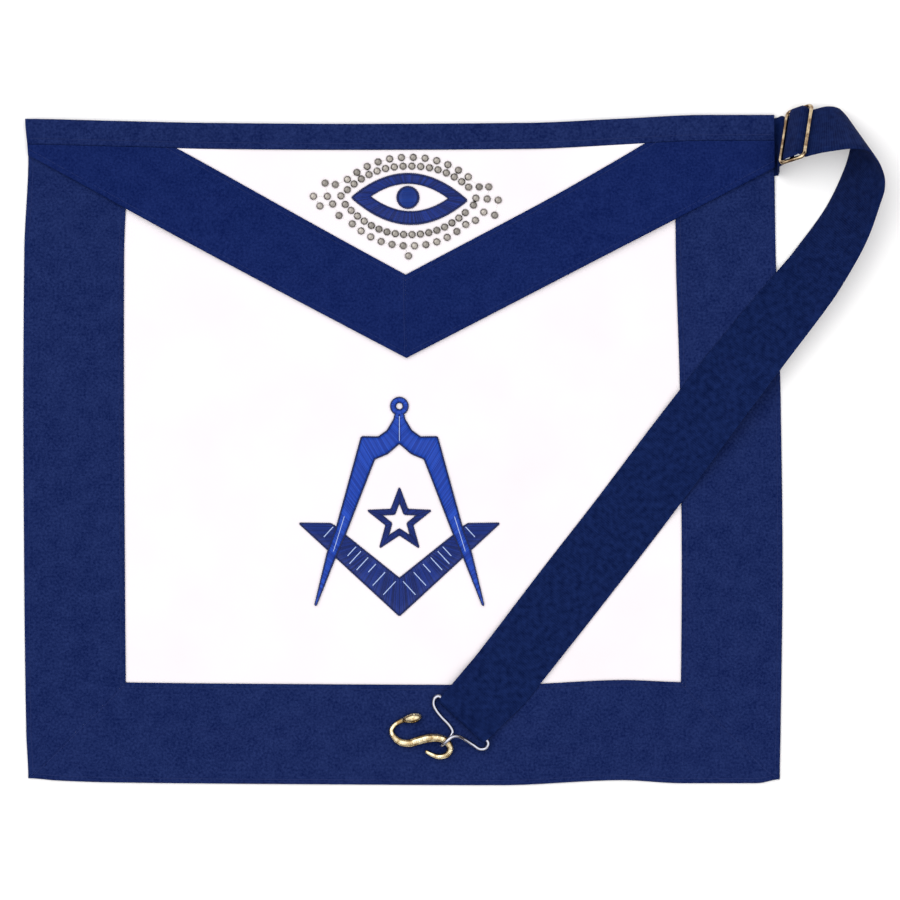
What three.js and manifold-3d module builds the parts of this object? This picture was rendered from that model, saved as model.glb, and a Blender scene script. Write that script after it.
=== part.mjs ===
// A ceremonial apron laid flat: a leather body with ribbon borders, a pointed flap, embroidered
// emblems, a spray of cut stones, and a webbing waist strap with slider, ring and serpent hook.
// Millimetres, +Z up. The origin is the middle of the apron's underside, +Y towards the waistband.

import * as THREE from "three";
import { mergeVertices } from "three/addons/utils/BufferGeometryUtils.js";
import Module from "manifold-3d";

const wasm = await Module();
wasm.setup();

// Sizes of the apron and its cloth
const APRON_WIDTH = 406;
const APRON_HEIGHT = 356;
const LEATHER = 1.2;
const RIBBON = 1.0;
const THREAD = 0.8;
const CLEARANCE = 0.3;
const BORDER_WIDTH = 54;
const EDGE_ROLL = 0.9;
const WAISTBAND_DEPTH = 13.6;
const WAISTBAND_THICKNESS = 2.8;

// Sizes of the flap
const FLAP_DROP = 127.5;
const FLAP_SHOULDER_LEFT = 18.7;
const FLAP_SHOULDER_RIGHT = 25.4;
const FLAP_TIP_OFFSET = 2.7;
const FLAP_BORDER_WIDTH = 40.3;
const FLAP_BORDER_TAPER = 3;
const FLAP_DRAPE_RUN = 60;

// Sizes of the embroidery and the stones
const EYE_LENGTH = 61.8;
const EYE_HEIGHT = 26.9;
const EYE_WHITE_LENGTH = 42.5;
const EYE_WHITE_HEIGHT = 15.4;
const EYE_WHITE_RISE = 0.8;
const EYE_TILT = 0.025;
const EYE_DEPTH_BELOW_TOP = 42;
const IRIS_DIAMETER = 12.6;
const IRIS_SHIFT = -0.8;
const STONE_DIAMETER = 4.3;
const STONE_HEIGHT = 1.7;
const STONE_THREAD = 0.7;
const EMBLEM_HEIGHT = 117.4;
const EMBLEM_CENTRE_BELOW_TOP = 207.3;
const EMBLEM_OFFSET = -1.9;
const STAR_RADIUS = 18;
const STAR_STROKE = 4.6;

// Sizes of the strap and its metal
const STRAP_WIDTH = 37.5;
const WEBBING = 1.2;
const HEM_LENGTH = 14;
const HEM_RUN = 30;
const SLIDER_WIRE = 2.2;
const SLIDER_PITCH = 7.4;
const SLIDER_PLAY = 0.55;
const RING_WIRE = 2.0;
const RING_WIDTH = 37.2;
const RING_REACH = 18.4;
const HOOK_LENGTH = 34;
const HOOK_FROM_RING = 1.3;

// Heights at which the layers lie
const UNDER_RIBBON = LEATHER + CLEARANCE;
const BORDER_TOP = UNDER_RIBBON + RIBBON;
const FLAP_RISE = RIBBON + CLEARANCE;
const FLAP_SEAT = LEATHER + CLEARANCE;
const FLAP_EMBLEM_SEAT = FLAP_SEAT + LEATHER + CLEARANCE;
const PANEL_EMBLEM_SEAT = LEATHER + CLEARANCE;
const WAISTBAND_TOP = UNDER_RIBBON + WAISTBAND_THICKNESS;
const EDGE_COVER = RIBBON + CLEARANCE;

const HALF_WIDTH = APRON_WIDTH / 2;
const HALF_HEIGHT = APRON_HEIGHT / 2;
const WAIST_LINE = HALF_HEIGHT - WAISTBAND_DEPTH - CLEARANCE;

// How far each edge of the laid apron bows outwards. `at` runs along the edge from 0 to 1, upwards
// or to the right, and `out` is a share of the apron's width on the sides and height on the ends.
const LEFT_EDGE = [
  { at: 0.0, out: -0.004 },
  { at: 0.07, out: -0.0013 },
  { at: 0.29, out: 0.0013 },
  { at: 0.58, out: 0.0026 },
  { at: 0.8, out: 0.0013 },
  { at: 0.94, out: -0.004 },
  { at: 1.0, out: 0.0 },
];
const RIGHT_EDGE = [
  { at: 0.0, out: -0.001 },
  { at: 0.07, out: 0.0 },
  { at: 0.32, out: 0.0026 },
  { at: 0.58, out: 0.0 },
  { at: 0.8, out: -0.0066 },
  { at: 1.0, out: -0.0085 },
];
const TOP_EDGE = [
  { at: 0.0, out: 0.003 },
  { at: 0.12, out: 0.0 },
  { at: 0.24, out: -0.003 },
  { at: 0.44, out: -0.0045 },
  { at: 0.67, out: -0.003 },
  { at: 0.79, out: 0.003 },
  { at: 0.91, out: 0.009 },
  { at: 1.0, out: 0.009 },
];
const BOTTOM_EDGE = [
  { at: 0.0, out: -0.0075 },
  { at: 0.04, out: -0.004 },
  { at: 0.12, out: -0.001 },
  { at: 0.36, out: 0.0015 },
  { at: 0.63, out: 0.003 },
  { at: 0.79, out: -0.0045 },
  { at: 0.87, out: 0.0 },
  { at: 0.97, out: 0.0 },
  { at: 1.0, out: -0.006 },
];

// The slope of a smooth curve through a table's rows, which never overshoots a row.
function slopeAt(rows, column, row, key) {
  if (row === 0 || row === rows.length - 1) return 0;
  const place = (n) => (key ? rows[n][key] : n);
  const before = (rows[row][column] - rows[row - 1][column]) / (place(row) - place(row - 1));
  const after = (rows[row + 1][column] - rows[row][column]) / (place(row + 1) - place(row));
  return before * after > 0 ? (2 * before * after) / (before + after) : 0;
}

// The value of a column between two rows. `key` names the column that the place is measured in,
// and with no key the place is the row's number.
function readTable(rows, column, place, key) {
  const where = (n) => (key ? rows[n][key] : n);
  let row = 0;
  while (row < rows.length - 2 && where(row + 1) < place) row += 1;
  const span = where(row + 1) - where(row);
  const share = THREE.MathUtils.clamp((place - where(row)) / span, 0, 1);
  const start = rows[row][column];
  const end = rows[row + 1][column];
  const leave = slopeAt(rows, column, row, key) * span;
  const arrive = slopeAt(rows, column, row + 1, key) * span;
  const square = share * share;
  const cube = square * share;
  return (
    (2 * cube - 3 * square + 1) * start +
    (cube - 2 * square + share) * leave +
    (3 * square - 2 * cube) * end +
    (cube - square) * arrive
  );
}

// Where a point of the flat pattern comes to lie, once its edges bow as the cloth does.
function settle(x, y, z) {
  const across = THREE.MathUtils.clamp(x / APRON_WIDTH + 0.5, 0, 1);
  const up = THREE.MathUtils.clamp(y / APRON_HEIGHT + 0.5, 0, 1);
  const left = -readTable(LEFT_EDGE, "out", up, "at") * APRON_WIDTH;
  const right = readTable(RIGHT_EDGE, "out", up, "at") * APRON_WIDTH;
  const bottom = -readTable(BOTTOM_EDGE, "out", across, "at") * APRON_HEIGHT;
  const top = readTable(TOP_EDGE, "out", across, "at") * APRON_HEIGHT;
  return new THREE.Vector3(
    x + THREE.MathUtils.lerp(left, right, across),
    y + THREE.MathUtils.lerp(bottom, top, up),
    z,
  );
}

// One closed surface with shared corners, its faces turned outwards.
function closeSurface(geometry) {
  geometry.deleteAttribute("normal");
  geometry.deleteAttribute("uv");
  const closed = mergeVertices(geometry, 1e-4);
  const corners = closed.attributes.position;
  const faces = closed.index.array;
  const a = new THREE.Vector3();
  const b = new THREE.Vector3();
  const c = new THREE.Vector3();
  let volume = 0;
  for (let n = 0; n < faces.length; n += 3) {
    a.fromBufferAttribute(corners, faces[n]);
    b.fromBufferAttribute(corners, faces[n + 1]);
    c.fromBufferAttribute(corners, faces[n + 2]);
    volume += a.dot(b.cross(c));
  }
  if (volume < 0) {
    for (let n = 0; n < faces.length; n += 3) {
      [faces[n + 1], faces[n + 2]] = [faces[n + 2], faces[n + 1]];
    }
  }
  closed.computeVertexNormals();
  return closed;
}

// Moves every corner of a geometry to where `place` puts it.
function reshape(geometry, place) {
  const corners = geometry.attributes.position;
  for (let n = 0; n < corners.count; n += 1) {
    const moved = place(corners.getX(n), corners.getY(n), corners.getZ(n));
    corners.setXYZ(n, moved.x, moved.y, moved.z);
  }
  return closeSurface(geometry);
}

function toSolid(geometry) {
  const { position } = geometry.attributes;
  return new wasm.Manifold(
    new wasm.Mesh({
      numProp: 3,
      vertProperties: new Float32Array(position.array),
      triVerts: new Uint32Array(geometry.index.array),
    }),
  );
}

function fromSolid(solid) {
  const mesh = solid.getMesh();
  const geometry = new THREE.BufferGeometry();
  geometry.setAttribute("position", new THREE.BufferAttribute(new Float32Array(mesh.vertProperties), 3));
  geometry.setIndex(new THREE.BufferAttribute(new Uint32Array(mesh.triVerts), 1));
  geometry.computeVertexNormals();
  return geometry;
}

// A flat outline of [x, y] corners as a shape, each side divided so that it can bow.
function dividedShape(corners, divisions = 1) {
  const points = [];
  corners.forEach(([x, y], n) => {
    const [nextX, nextY] = corners[(n + 1) % corners.length];
    for (let step = 0; step < divisions; step += 1) {
      const share = step / divisions;
      points.push(new THREE.Vector2(
        THREE.MathUtils.lerp(x, nextX, share),
        THREE.MathUtils.lerp(y, nextY, share),
      ));
    }
  });
  return new THREE.Shape(points);
}

// A flat piece of even thickness, standing on the height `seat`.
function flatPiece(shape, seat, thickness, place, curveSegments = 10) {
  const geometry = new THREE.ExtrudeGeometry(shape, {
    depth: thickness,
    bevelEnabled: false,
    curveSegments,
  });
  return reshape(geometry, (x, y, z) => place(x, y, z + seat));
}

// A piece of one cross-section, of [across, height] corners, carried from its start to its end.
function carriedSection(section, steps, place) {
  const shape = new THREE.Shape(section.map(([across, height]) => new THREE.Vector2(across, height)));
  const geometry = new THREE.ExtrudeGeometry(shape, { depth: 1, steps, bevelEnabled: false });
  return reshape(geometry, place);
}

// A ribbon that lies on the leather and turns down over its cut edge, which is at 0. `marks` are
// distances from the edge where the outline of the ribbon turns.
function ribbonSection(width, seat, top, foot, marks = []) {
  return [
    [0, foot],
    [0, top - EDGE_ROLL],
    [EDGE_ROLL * 0.3, top - EDGE_ROLL * 0.3],
    [EDGE_ROLL, top],
    ...marks.map((mark) => [mark, top]),
    [width, top],
    [width, seat],
    ...marks.toReversed().map((mark) => [mark, seat]),
    [RIBBON, seat],
    [RIBBON, foot],
  ];
}

function ribbonMaterial(colour) {
  return new THREE.MeshStandardMaterial({ color: colour, roughness: 0.62, metalness: 0 });
}

const whiteLeather = new THREE.MeshStandardMaterial({ color: 0xf8f5f7, roughness: 0.7, metalness: 0 });
const navyRibbon = ribbonMaterial(0x17275f);
const flapRibbon = ribbonMaterial(0x1b2f78);
const royalThread = new THREE.MeshStandardMaterial({ color: 0x1f3f9e, roughness: 0.45, metalness: 0 });
const paleThread = new THREE.MeshStandardMaterial({ color: 0x4a78c0, roughness: 0.45, metalness: 0 });
const clearStone = new THREE.MeshStandardMaterial({ color: 0xcfcac4, roughness: 0.08, metalness: 0.3 });
const navyWebbing = new THREE.MeshStandardMaterial({ color: 0x14215a, roughness: 0.75, metalness: 0 });
const paleGold = new THREE.MeshStandardMaterial({ color: 0xd9c08c, roughness: 0.22, metalness: 1 });
const brightSteel = new THREE.MeshStandardMaterial({ color: 0xc9ccd2, roughness: 0.2, metalness: 1 });

const apron = new THREE.Group();

function addPiece(name, geometry, material) {
  const mesh = new THREE.Mesh(geometry, material);
  mesh.name = name;
  apron.add(mesh);
  return mesh;
}

// The strap: a flat band whose width is carried along a route. Each row is one straight line across
// the band, from the edge that stays low to the edge that stands up. x and y are the middle of that
// line as shares of the apron's width and height, `aim` is its compass direction in degrees from +X,
// `rise` its tilt, `reach` its length as a share of the strap's width, `seat` the height of its low
// end, and `steps` the number of sections up to the next row.
const ON_FLOOR = WEBBING / 2 + CLEARANCE / 3;
const ON_BORDER = BORDER_TOP + CLEARANCE + WEBBING / 2;
const ON_PANEL = LEATHER + CLEARANCE + WEBBING / 2;
const SLIDER_HUMP = SLIDER_WIRE / 2 + WEBBING / 2 + 3 * CLEARANCE;
const ON_SLIDER = SLIDER_WIRE * 1.6;
const SLIDER_ROW = 3;
const HUMP_FLAT = 0.42;
const HUMP_FOOT = 0.95;
const STRAP_ROWS = [
  { x: 0.47, y: 0.4608, aim: -90, rise: 0, reach: 0.83, seat: WEBBING / 2, steps: 1 },
  { x: 0.4945, y: 0.4608, aim: -90, rise: 0, reach: 0.83, seat: WEBBING / 2, steps: 8 },
  { x: 0.5035, y: 0.4665, aim: -100, rise: 46, reach: 1.0, seat: ON_SLIDER * 0.2, steps: 8 },
  { x: 0.5222, y: 0.4739, aim: -100, rise: 46, reach: 1.0, seat: ON_SLIDER, steps: 8 },
  { x: 0.5415, y: 0.4816, aim: -100, rise: 46, reach: 1.0, seat: ON_SLIDER * 1.8, steps: 4 },
  { x: 0.5608, y: 0.4864, aim: -91, rise: 48.5, reach: 1.0, seat: ON_SLIDER * 1.75, steps: 4 },
  { x: 0.5842, y: 0.4876, aim: -73, rise: 51.5, reach: 1.0, seat: ON_SLIDER * 1.3, steps: 4 },
  { x: 0.5994, y: 0.4816, aim: -58, rise: 50, reach: 1.04, seat: ON_SLIDER * 0.9, steps: 4 },
  { x: 0.6114, y: 0.4607, aim: -56, rise: 45, reach: 1.115, seat: ON_SLIDER * 0.5, steps: 4 },
  { x: 0.6151, y: 0.438, aim: -57, rise: 43, reach: 1.14, seat: ON_FLOOR, steps: 4 },
  { x: 0.608, y: 0.403, aim: -50, rise: 46, reach: 1.06, seat: ON_FLOOR, steps: 4 },
  { x: 0.586, y: 0.3429, aim: -43, rise: 41.5, reach: 1.01, seat: ON_FLOOR, steps: 4 },
  { x: 0.5509, y: 0.2802, aim: -39, rise: 33.5, reach: 1.0, seat: ON_BORDER * 0.72, steps: 4 },
  { x: 0.5271, y: 0.244, aim: -38.5, rise: 28.5, reach: 1.0, seat: ON_BORDER, steps: 4 },
  { x: 0.4791, y: 0.1751, aim: -38.5, rise: 22.5, reach: 1.0, seat: ON_BORDER, steps: 4 },
  { x: 0.4039, y: 0.0654, aim: -38.8, rise: 13.5, reach: 1.0, seat: ON_BORDER, steps: 5 },
  { x: 0.3, y: -0.0925, aim: -38.8, rise: 0, reach: 1.0, seat: ON_PANEL, steps: 2 },
  { x: 0.229, y: -0.1967, aim: -38.8, rise: 0, reach: 1.0, seat: ON_PANEL, steps: 4 },
  { x: 0.1307, y: -0.3411, aim: -43, rise: 0, reach: 0.98, seat: ON_BORDER, steps: 22 },
];
const LAST_ROW = STRAP_ROWS.length - 1;
const HEM_REACH = 0.9;

const strapRoute = new THREE.CatmullRomCurve3(
  STRAP_ROWS.map(({ x, y }) => new THREE.Vector3(x * APRON_WIDTH, y * APRON_HEIGHT, 0)),
  false,
  "catmullrom",
);

// The line across the strap at a place counted in rows: its direction and its length.
function strapLine(place) {
  const aim = THREE.MathUtils.degToRad(readTable(STRAP_ROWS, "aim", place));
  const rise = THREE.MathUtils.degToRad(readTable(STRAP_ROWS, "rise", place));
  const direction = new THREE.Vector3(
    Math.cos(aim) * Math.cos(rise),
    Math.sin(aim) * Math.cos(rise),
    Math.sin(rise),
  );
  return { direction, length: readTable(STRAP_ROWS, "reach", place) * STRAP_WIDTH };
}

function strapMiddle(place) {
  const { direction, length } = strapLine(place);
  const middle = strapRoute.getPoint(place / LAST_ROW);
  middle.z = readTable(STRAP_ROWS, "seat", place) + (direction.z * length) / 2;
  return middle;
}

// The frame that the slider lies in: along the strap, across it towards the raised edge, and up.
function sliderFrame() {
  const { direction } = strapLine(SLIDER_ROW);
  const along = strapMiddle(SLIDER_ROW + 0.3).sub(strapMiddle(SLIDER_ROW - 0.3)).normalize();
  along.addScaledVector(direction, -along.dot(direction)).normalize();
  const up = along.clone().cross(direction).negate();
  return { along, across: direction, up, middle: strapMiddle(SLIDER_ROW) };
}
const slider = sliderFrame();

// The strap rides over the slider's middle bar and under its two outer bars.
function sliderLift(place, point) {
  const from = point.clone().sub(slider.middle).dot(slider.along);
  if (Math.abs(place - SLIDER_ROW) > 1.5 || Math.abs(from) >= SLIDER_PITCH) return 0;
  const fall = THREE.MathUtils.smoothstep(Math.abs(from) / SLIDER_PITCH, HUMP_FLAT, HUMP_FOOT);
  return 2 * SLIDER_HUMP * (1 - fall);
}

// The end of the strap: the ring's bar lies in a sewn loop. The path is seen from the strap's edge,
// as distance past the last row and height.
const lastMiddle = strapMiddle(LAST_ROW);
const endAcross = strapLine(LAST_ROW).direction;
const endAhead = new THREE.Vector3(0, 0, 1).cross(endAcross).negate();
const HEM_LAYER = WEBBING + CLEARANCE;
const BAR_HEIGHT = ON_BORDER + WEBBING / 2 + CLEARANCE + RING_WIRE / 2;
const HEM_RADIUS = BAR_HEIGHT - ON_BORDER;
const HEM_BACK = HEM_RUN - HEM_LENGTH;
const hemPath = new THREE.Path();
hemPath.moveTo(0, ON_BORDER);
hemPath.bezierCurveTo(
  HEM_BACK * 0.4, ON_BORDER,
  HEM_BACK * 0.45, ON_BORDER + HEM_LAYER,
  HEM_BACK * 0.85, ON_BORDER + HEM_LAYER,
);
hemPath.lineTo(HEM_BACK + HEM_LENGTH * 0.3, ON_BORDER + HEM_LAYER);
hemPath.bezierCurveTo(
  HEM_RUN - HEM_LENGTH * 0.4, ON_BORDER + HEM_LAYER,
  HEM_RUN - HEM_LENGTH * 0.3, BAR_HEIGHT + HEM_RADIUS,
  HEM_RUN, BAR_HEIGHT + HEM_RADIUS,
);
hemPath.absarc(HEM_RUN, BAR_HEIGHT, HEM_RADIUS, Math.PI / 2, -Math.PI / 2, true);
hemPath.lineTo(HEM_BACK, ON_BORDER);

// A point of the strap's middle surface: `place` in rows, then one more for the hem, and `across`
// from -0.5 at the low edge to 0.5 at the raised one.
function strapPoint(place, across) {
  if (place <= LAST_ROW) {
    const { direction, length } = strapLine(place);
    const point = strapMiddle(place);
    point.addScaledVector(slider.up, sliderLift(place, point));
    return point.addScaledVector(direction, across * length);
  }
  const hem = hemPath.getPointAt(Math.min(place - LAST_ROW, 1));
  const width = THREE.MathUtils.lerp(STRAP_ROWS[LAST_ROW].reach, HEM_REACH, hem.x / HEM_RUN);
  const point = lastMiddle.clone().addScaledVector(endAhead, hem.x);
  point.addScaledVector(endAcross, across * width * STRAP_WIDTH);
  point.z = hem.y;
  return point;
}

function strapSections() {
  const places = [];
  STRAP_ROWS.forEach(({ steps }, row) => {
    for (let step = 0; step < steps; step += 1) places.push(row + step / steps);
  });
  places.push(LAST_ROW + 1);
  return places;
}

const ACROSS_PARTS = 2;
const PROBE = 0.004;

function makeStrap() {
  const places = strapSections();
  const sections = places.length - 1;
  const band = new THREE.BoxGeometry(1, 1, 1, sections, ACROSS_PARTS, 1);
  return reshape(band, (x, across, side) => {
    const place = places[Math.round((x + 0.5) * sections)];
    const before = Math.max(place - PROBE, 0);
    const after = Math.min(place + PROBE, LAST_ROW + 1);
    const along = strapPoint(after, across).sub(strapPoint(before, across));
    const over = strapPoint(place, 0.5).sub(strapPoint(place, -0.5));
    const normal = along.cross(over).normalize();
    return strapPoint(place, across).addScaledVector(normal, side * WEBBING);
  });
}

// The strap's hidden end lies flat in a pocket under the border, where the leather is cut away.
const tabStart = strapPoint(0, 0);
const TAB_HALF = (STRAP_ROWS[0].reach * STRAP_WIDTH) / 2;

function tabPocket() {
  const reachOut = HALF_WIDTH - tabStart.x + CLEARANCE + EDGE_COVER * 4;
  const pocket = new THREE.BoxGeometry(
    reachOut,
    2 * (TAB_HALF + CLEARANCE),
    UNDER_RIBBON * 2,
  );
  pocket.translate(tabStart.x - CLEARANCE + reachOut / 2, tabStart.y, 0);
  return toSolid(closeSurface(pocket));
}

// The leather body, set in from the outline by the thickness of the ribbon round its edge.
const bodyOutline = dividedShape(
  [
    [-HALF_WIDTH + EDGE_COVER, -HALF_HEIGHT + EDGE_COVER],
    [HALF_WIDTH - EDGE_COVER, -HALF_HEIGHT + EDGE_COVER],
    [HALF_WIDTH - EDGE_COVER, HALF_HEIGHT - EDGE_COVER],
    [-HALF_WIDTH + EDGE_COVER, HALF_HEIGHT - EDGE_COVER],
  ],
  24,
);
const bodyLeather = flatPiece(bodyOutline, 0, LEATHER, settle);
addPiece("body_panel", fromSolid(toSolid(bodyLeather).subtract(tabPocket())), whiteLeather);

// The ribbon border of the body: two sides and the bottom, mitred where they meet.
const borderSection = ribbonSection(BORDER_WIDTH, UNDER_RIBBON, BORDER_TOP, 0);
const MITRE_GAP = CLEARANCE / 2;
const sideTop = WAIST_LINE;

function sideBorder(side) {
  return carriedSection(borderSection, 18, (inward, height, share) => {
    const start = -HALF_HEIGHT + inward + MITRE_GAP * Math.SQRT2;
    return settle(side * (HALF_WIDTH - inward), THREE.MathUtils.lerp(start, sideTop, share), height);
  });
}

const bottomBorder = carriedSection(borderSection, 22, (inward, height, share) => {
  const end = HALF_WIDTH - inward - MITRE_GAP * Math.SQRT2;
  return settle(THREE.MathUtils.lerp(-end, end, share), -HALF_HEIGHT + inward, height);
});

addPiece("border_left", sideBorder(-1), navyRibbon);
addPiece("border_right", fromSolid(toSolid(sideBorder(1)).subtract(tabPocket())), navyRibbon);
addPiece("border_bottom", bottomBorder, navyRibbon);

// The waistband: ribbon folded in several layers over the top edge.
const waistbandSection = [
  [0, 0],
  [0, WAISTBAND_TOP - EDGE_ROLL],
  [EDGE_ROLL, WAISTBAND_TOP],
  [WAISTBAND_DEPTH - EDGE_ROLL, WAISTBAND_TOP],
  [WAISTBAND_DEPTH, WAISTBAND_TOP - EDGE_ROLL],
  [WAISTBAND_DEPTH, UNDER_RIBBON],
  [RIBBON, UNDER_RIBBON],
  [RIBBON, 0],
];
addPiece(
  "waistband",
  carriedSection(waistbandSection, 18, (inward, height, share) =>
    settle(THREE.MathUtils.lerp(-HALF_WIDTH, HALF_WIDTH, share), HALF_HEIGHT - inward, height)),
  navyRibbon,
);

// The flap hangs from the waistband and ends in a point. It lies over the side borders and sinks
// down to the body between them.
const flapTip = { x: FLAP_TIP_OFFSET, y: HALF_HEIGHT - FLAP_DROP };

function flapShoulder(side) {
  return HALF_HEIGHT - (side < 0 ? FLAP_SHOULDER_LEFT : FLAP_SHOULDER_RIGHT);
}

function flapSlope(side) {
  return (flapShoulder(side) - flapTip.y) / (HALF_WIDTH - side * flapTip.x);
}

function flapRise(x) {
  const inside = HALF_WIDTH - BORDER_WIDTH - FLAP_DRAPE_RUN / 4;
  return FLAP_RISE * THREE.MathUtils.smoothstep(Math.abs(x), inside - FLAP_DRAPE_RUN, inside);
}

// The ribbon on the flap grows a little wider from the point towards the shoulders.
const WIDENING = FLAP_BORDER_TAPER / (FLAP_BORDER_WIDTH * HALF_WIDTH);

// The height on the flap's slanting edge, moved inwards from it by a distance.
function flapEdge(side, x, inward) {
  const slope = flapSlope(side);
  const from = side * (x - flapTip.x);
  return flapTip.y + slope * from + inward * Math.hypot(1, slope) * (1 + WIDENING * from);
}

// The flap's slanting edges stay straight: the bow of the top edge fades out down the flap.
function settleFlap(x, y, z) {
  const low = flapEdge(x < flapTip.x ? -1 : 1, x, 0);
  const share = THREE.MathUtils.clamp((y - low) / (WAIST_LINE - low), 0, 1);
  const settled = settle(x, y, z);
  settled.y = THREE.MathUtils.lerp(y, settled.y, share);
  return settled;
}

const FLAP_PARTS = 32;
const FLAP_BORDER_PARTS = 5;
const flapEnd = HALF_WIDTH - EDGE_COVER;
const flapSheet = new THREE.BoxGeometry(1, 1, 1, FLAP_PARTS, 1, 1);
addPiece(
  "flap_panel",
  reshape(flapSheet, (x, up, layer) => {
    const side = x < 0 ? -1 : 1;
    const across = THREE.MathUtils.lerp(flapTip.x, side * flapEnd, Math.abs(x) * 2);
    const low = flapEdge(side, across, EDGE_COVER);
    const y = up < 0 ? low : WAIST_LINE;
    const underside = FLAP_SEAT + flapRise(across);
    return settleFlap(across, y, layer < 0 ? underside : underside + LEATHER);
  }),
  whiteLeather,
);

// The flap's ribbon: one length on each side, cut to the waistband and the apron's side at one end
// and mitred at the point of the flap at the other.
function flapBorder(side) {
  const slope = flapSlope(side);
  const slant = Math.hypot(1, slope);
  const endFrom = HALF_WIDTH - side * flapTip.x;
  const corner = (WAIST_LINE - flapShoulder(side)) / (slant * (1 + WIDENING * endFrom));
  const cover = LEATHER + CLEARANCE;
  const marks = [corner];
  for (let part = 1; part < FLAP_BORDER_PARTS; part += 1) {
    marks.push(THREE.MathUtils.lerp(corner, FLAP_BORDER_WIDTH, part / FLAP_BORDER_PARTS));
  }
  const section = ribbonSection(FLAP_BORDER_WIDTH, cover, cover + RIBBON, 0, marks);
  return carriedSection(section, 12, (inward, height, share) => {
    const outerX = side * HALF_WIDTH;
    const reachX = flapTip.x +
      (side * (WAIST_LINE - flapTip.y - inward * slant)) / (slope + inward * slant * WIDENING);
    const startX = inward <= corner ? outerX : reachX;
    const x = THREE.MathUtils.lerp(startX, flapTip.x + side * MITRE_GAP, share);
    return settleFlap(x, flapEdge(side, x, inward), FLAP_SEAT + flapRise(x) + height);
  });
}

addPiece("flap_border_left", flapBorder(-1), flapRibbon);
addPiece("flap_border_right", flapBorder(1), flapRibbon);

// The eye: an almond outline and a round iris in satin stitch.
const eyeCentre = new THREE.Vector2(flapTip.x + 0.8, HALF_HEIGHT - EYE_DEPTH_BELOW_TOP);

function almond(target, length, height, rise) {
  target.moveTo(-length / 2, rise);
  target.quadraticCurveTo(0, rise - height, length / 2, rise);
  target.quadraticCurveTo(0, rise + height, -length / 2, rise);
  return target;
}

function onEye(x, y, z) {
  return new THREE.Vector3(eyeCentre.x + x, eyeCentre.y + y - x * EYE_TILT, z);
}

const eyeShape = almond(new THREE.Shape(), EYE_LENGTH, EYE_HEIGHT, 0);
eyeShape.holes.push(
  almond(new THREE.Path(), EYE_WHITE_LENGTH, EYE_WHITE_HEIGHT, EYE_WHITE_RISE),
);
addPiece("eye_outline", flatPiece(eyeShape, FLAP_EMBLEM_SEAT, THREAD, onEye, 14), royalThread);

const irisShape = new THREE.Shape();
irisShape.absarc(IRIS_SHIFT, EYE_WHITE_RISE, IRIS_DIAMETER / 2, 0, 2 * Math.PI);
addPiece("eye_iris", flatPiece(irisShape, FLAP_EMBLEM_SEAT, THREAD, onEye, 10), paleThread);

// The stones round the eye. Each arch is a row of stones, high in the middle: `height` and
// `halfWidth` are shares of the eye's length, from the eye's middle, `power` is how square its
// shoulders are, `from` and `to` are where the stones begin and end as shares of the half width.
const STONE_ARCHES = {
  innerUpper: { height: 0.285, halfWidth: 0.62, power: 2.4, from: -0.96, to: 0.83, count: 17 },
  innerLower: { height: -0.31, halfWidth: 0.6, power: 2.3, from: 0.81, to: -0.93, count: 17 },
  outerUpper: { height: 0.362, halfWidth: 0.71, power: 2.3, from: -0.76, to: 0.72, count: 12 },
  outerLower: { height: -0.408, halfWidth: 0.69, power: 2.3, from: 0.71, to: -0.72, count: 12 },
};

// Stones that stand by themselves at the corners of the eye, as shares of its length.
const RIGHT_STONES = [
  { x: 0.607, y: 0.105 },
  { x: 0.69, y: 0.105 },
  { x: 0.676, y: 0.0 },
  { x: 0.772, y: -0.01 },
  { x: 0.741, y: -0.141 },
  { x: 0.647, y: -0.115 },
  { x: 0.574, y: -0.186 },
];
const INNER_RIGHT_STONES = [
  { x: 0.578, y: 0.007 },
  { x: 0.557, y: -0.054 },
];
const LEFT_STONES = [
  { x: -0.612, y: -0.144 },
  { x: -0.667, y: -0.044 },
  { x: -0.778, y: -0.061 },
  { x: -0.835, y: 0.023 },
  { x: -0.714, y: 0.023 },
  { x: -0.733, y: 0.138 },
  { x: -0.644, y: 0.125 },
];
const LOWEST_STONE = { x: -0.008, y: -0.495 };

function archStones({ height, halfWidth, power, from, to, count }) {
  const dense = 200;
  const line = [];
  for (let n = 0; n <= dense; n += 1) {
    const share = THREE.MathUtils.lerp(from, to, n / dense);
    const y = height * (1 - Math.abs(share) ** power);
    line.push(new THREE.Vector2(share * halfWidth * EYE_LENGTH, y * EYE_LENGTH));
  }
  return new THREE.SplineCurve(line).getSpacedPoints(count - 1);
}

function chartedStones(rows) {
  return rows.map(({ x, y }) => new THREE.Vector2(x * EYE_LENGTH, y * EYE_LENGTH));
}

// One cut stone: a flat table over eight slanted facets, on its flat back.
function cutStone({ x, y }) {
  const stone = new THREE.CylinderGeometry(
    STONE_DIAMETER * 0.27, STONE_DIAMETER / 2, STONE_HEIGHT, 8, 1, false, x + y,
  );
  stone.rotateX(Math.PI / 2);
  stone.translate(x, y, STONE_HEIGHT / 2);
  return toSolid(closeSurface(stone));
}

// The thread that runs from stone to stone and holds them in their row, three-sided.
const THREAD_SINK = 0.5;

function stoneThread(from, to) {
  const length = from.distanceTo(to);
  const thread = new THREE.CylinderGeometry(STONE_THREAD, STONE_THREAD, length, 3);
  thread.rotateZ(Math.PI / 2);
  thread.rotateZ(Math.atan2(to.y - from.y, to.x - from.x));
  thread.translate((from.x + to.x) / 2, (from.y + to.y) / 2, STONE_THREAD * THREAD_SINK);
  return toSolid(closeSurface(thread));
}

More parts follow.
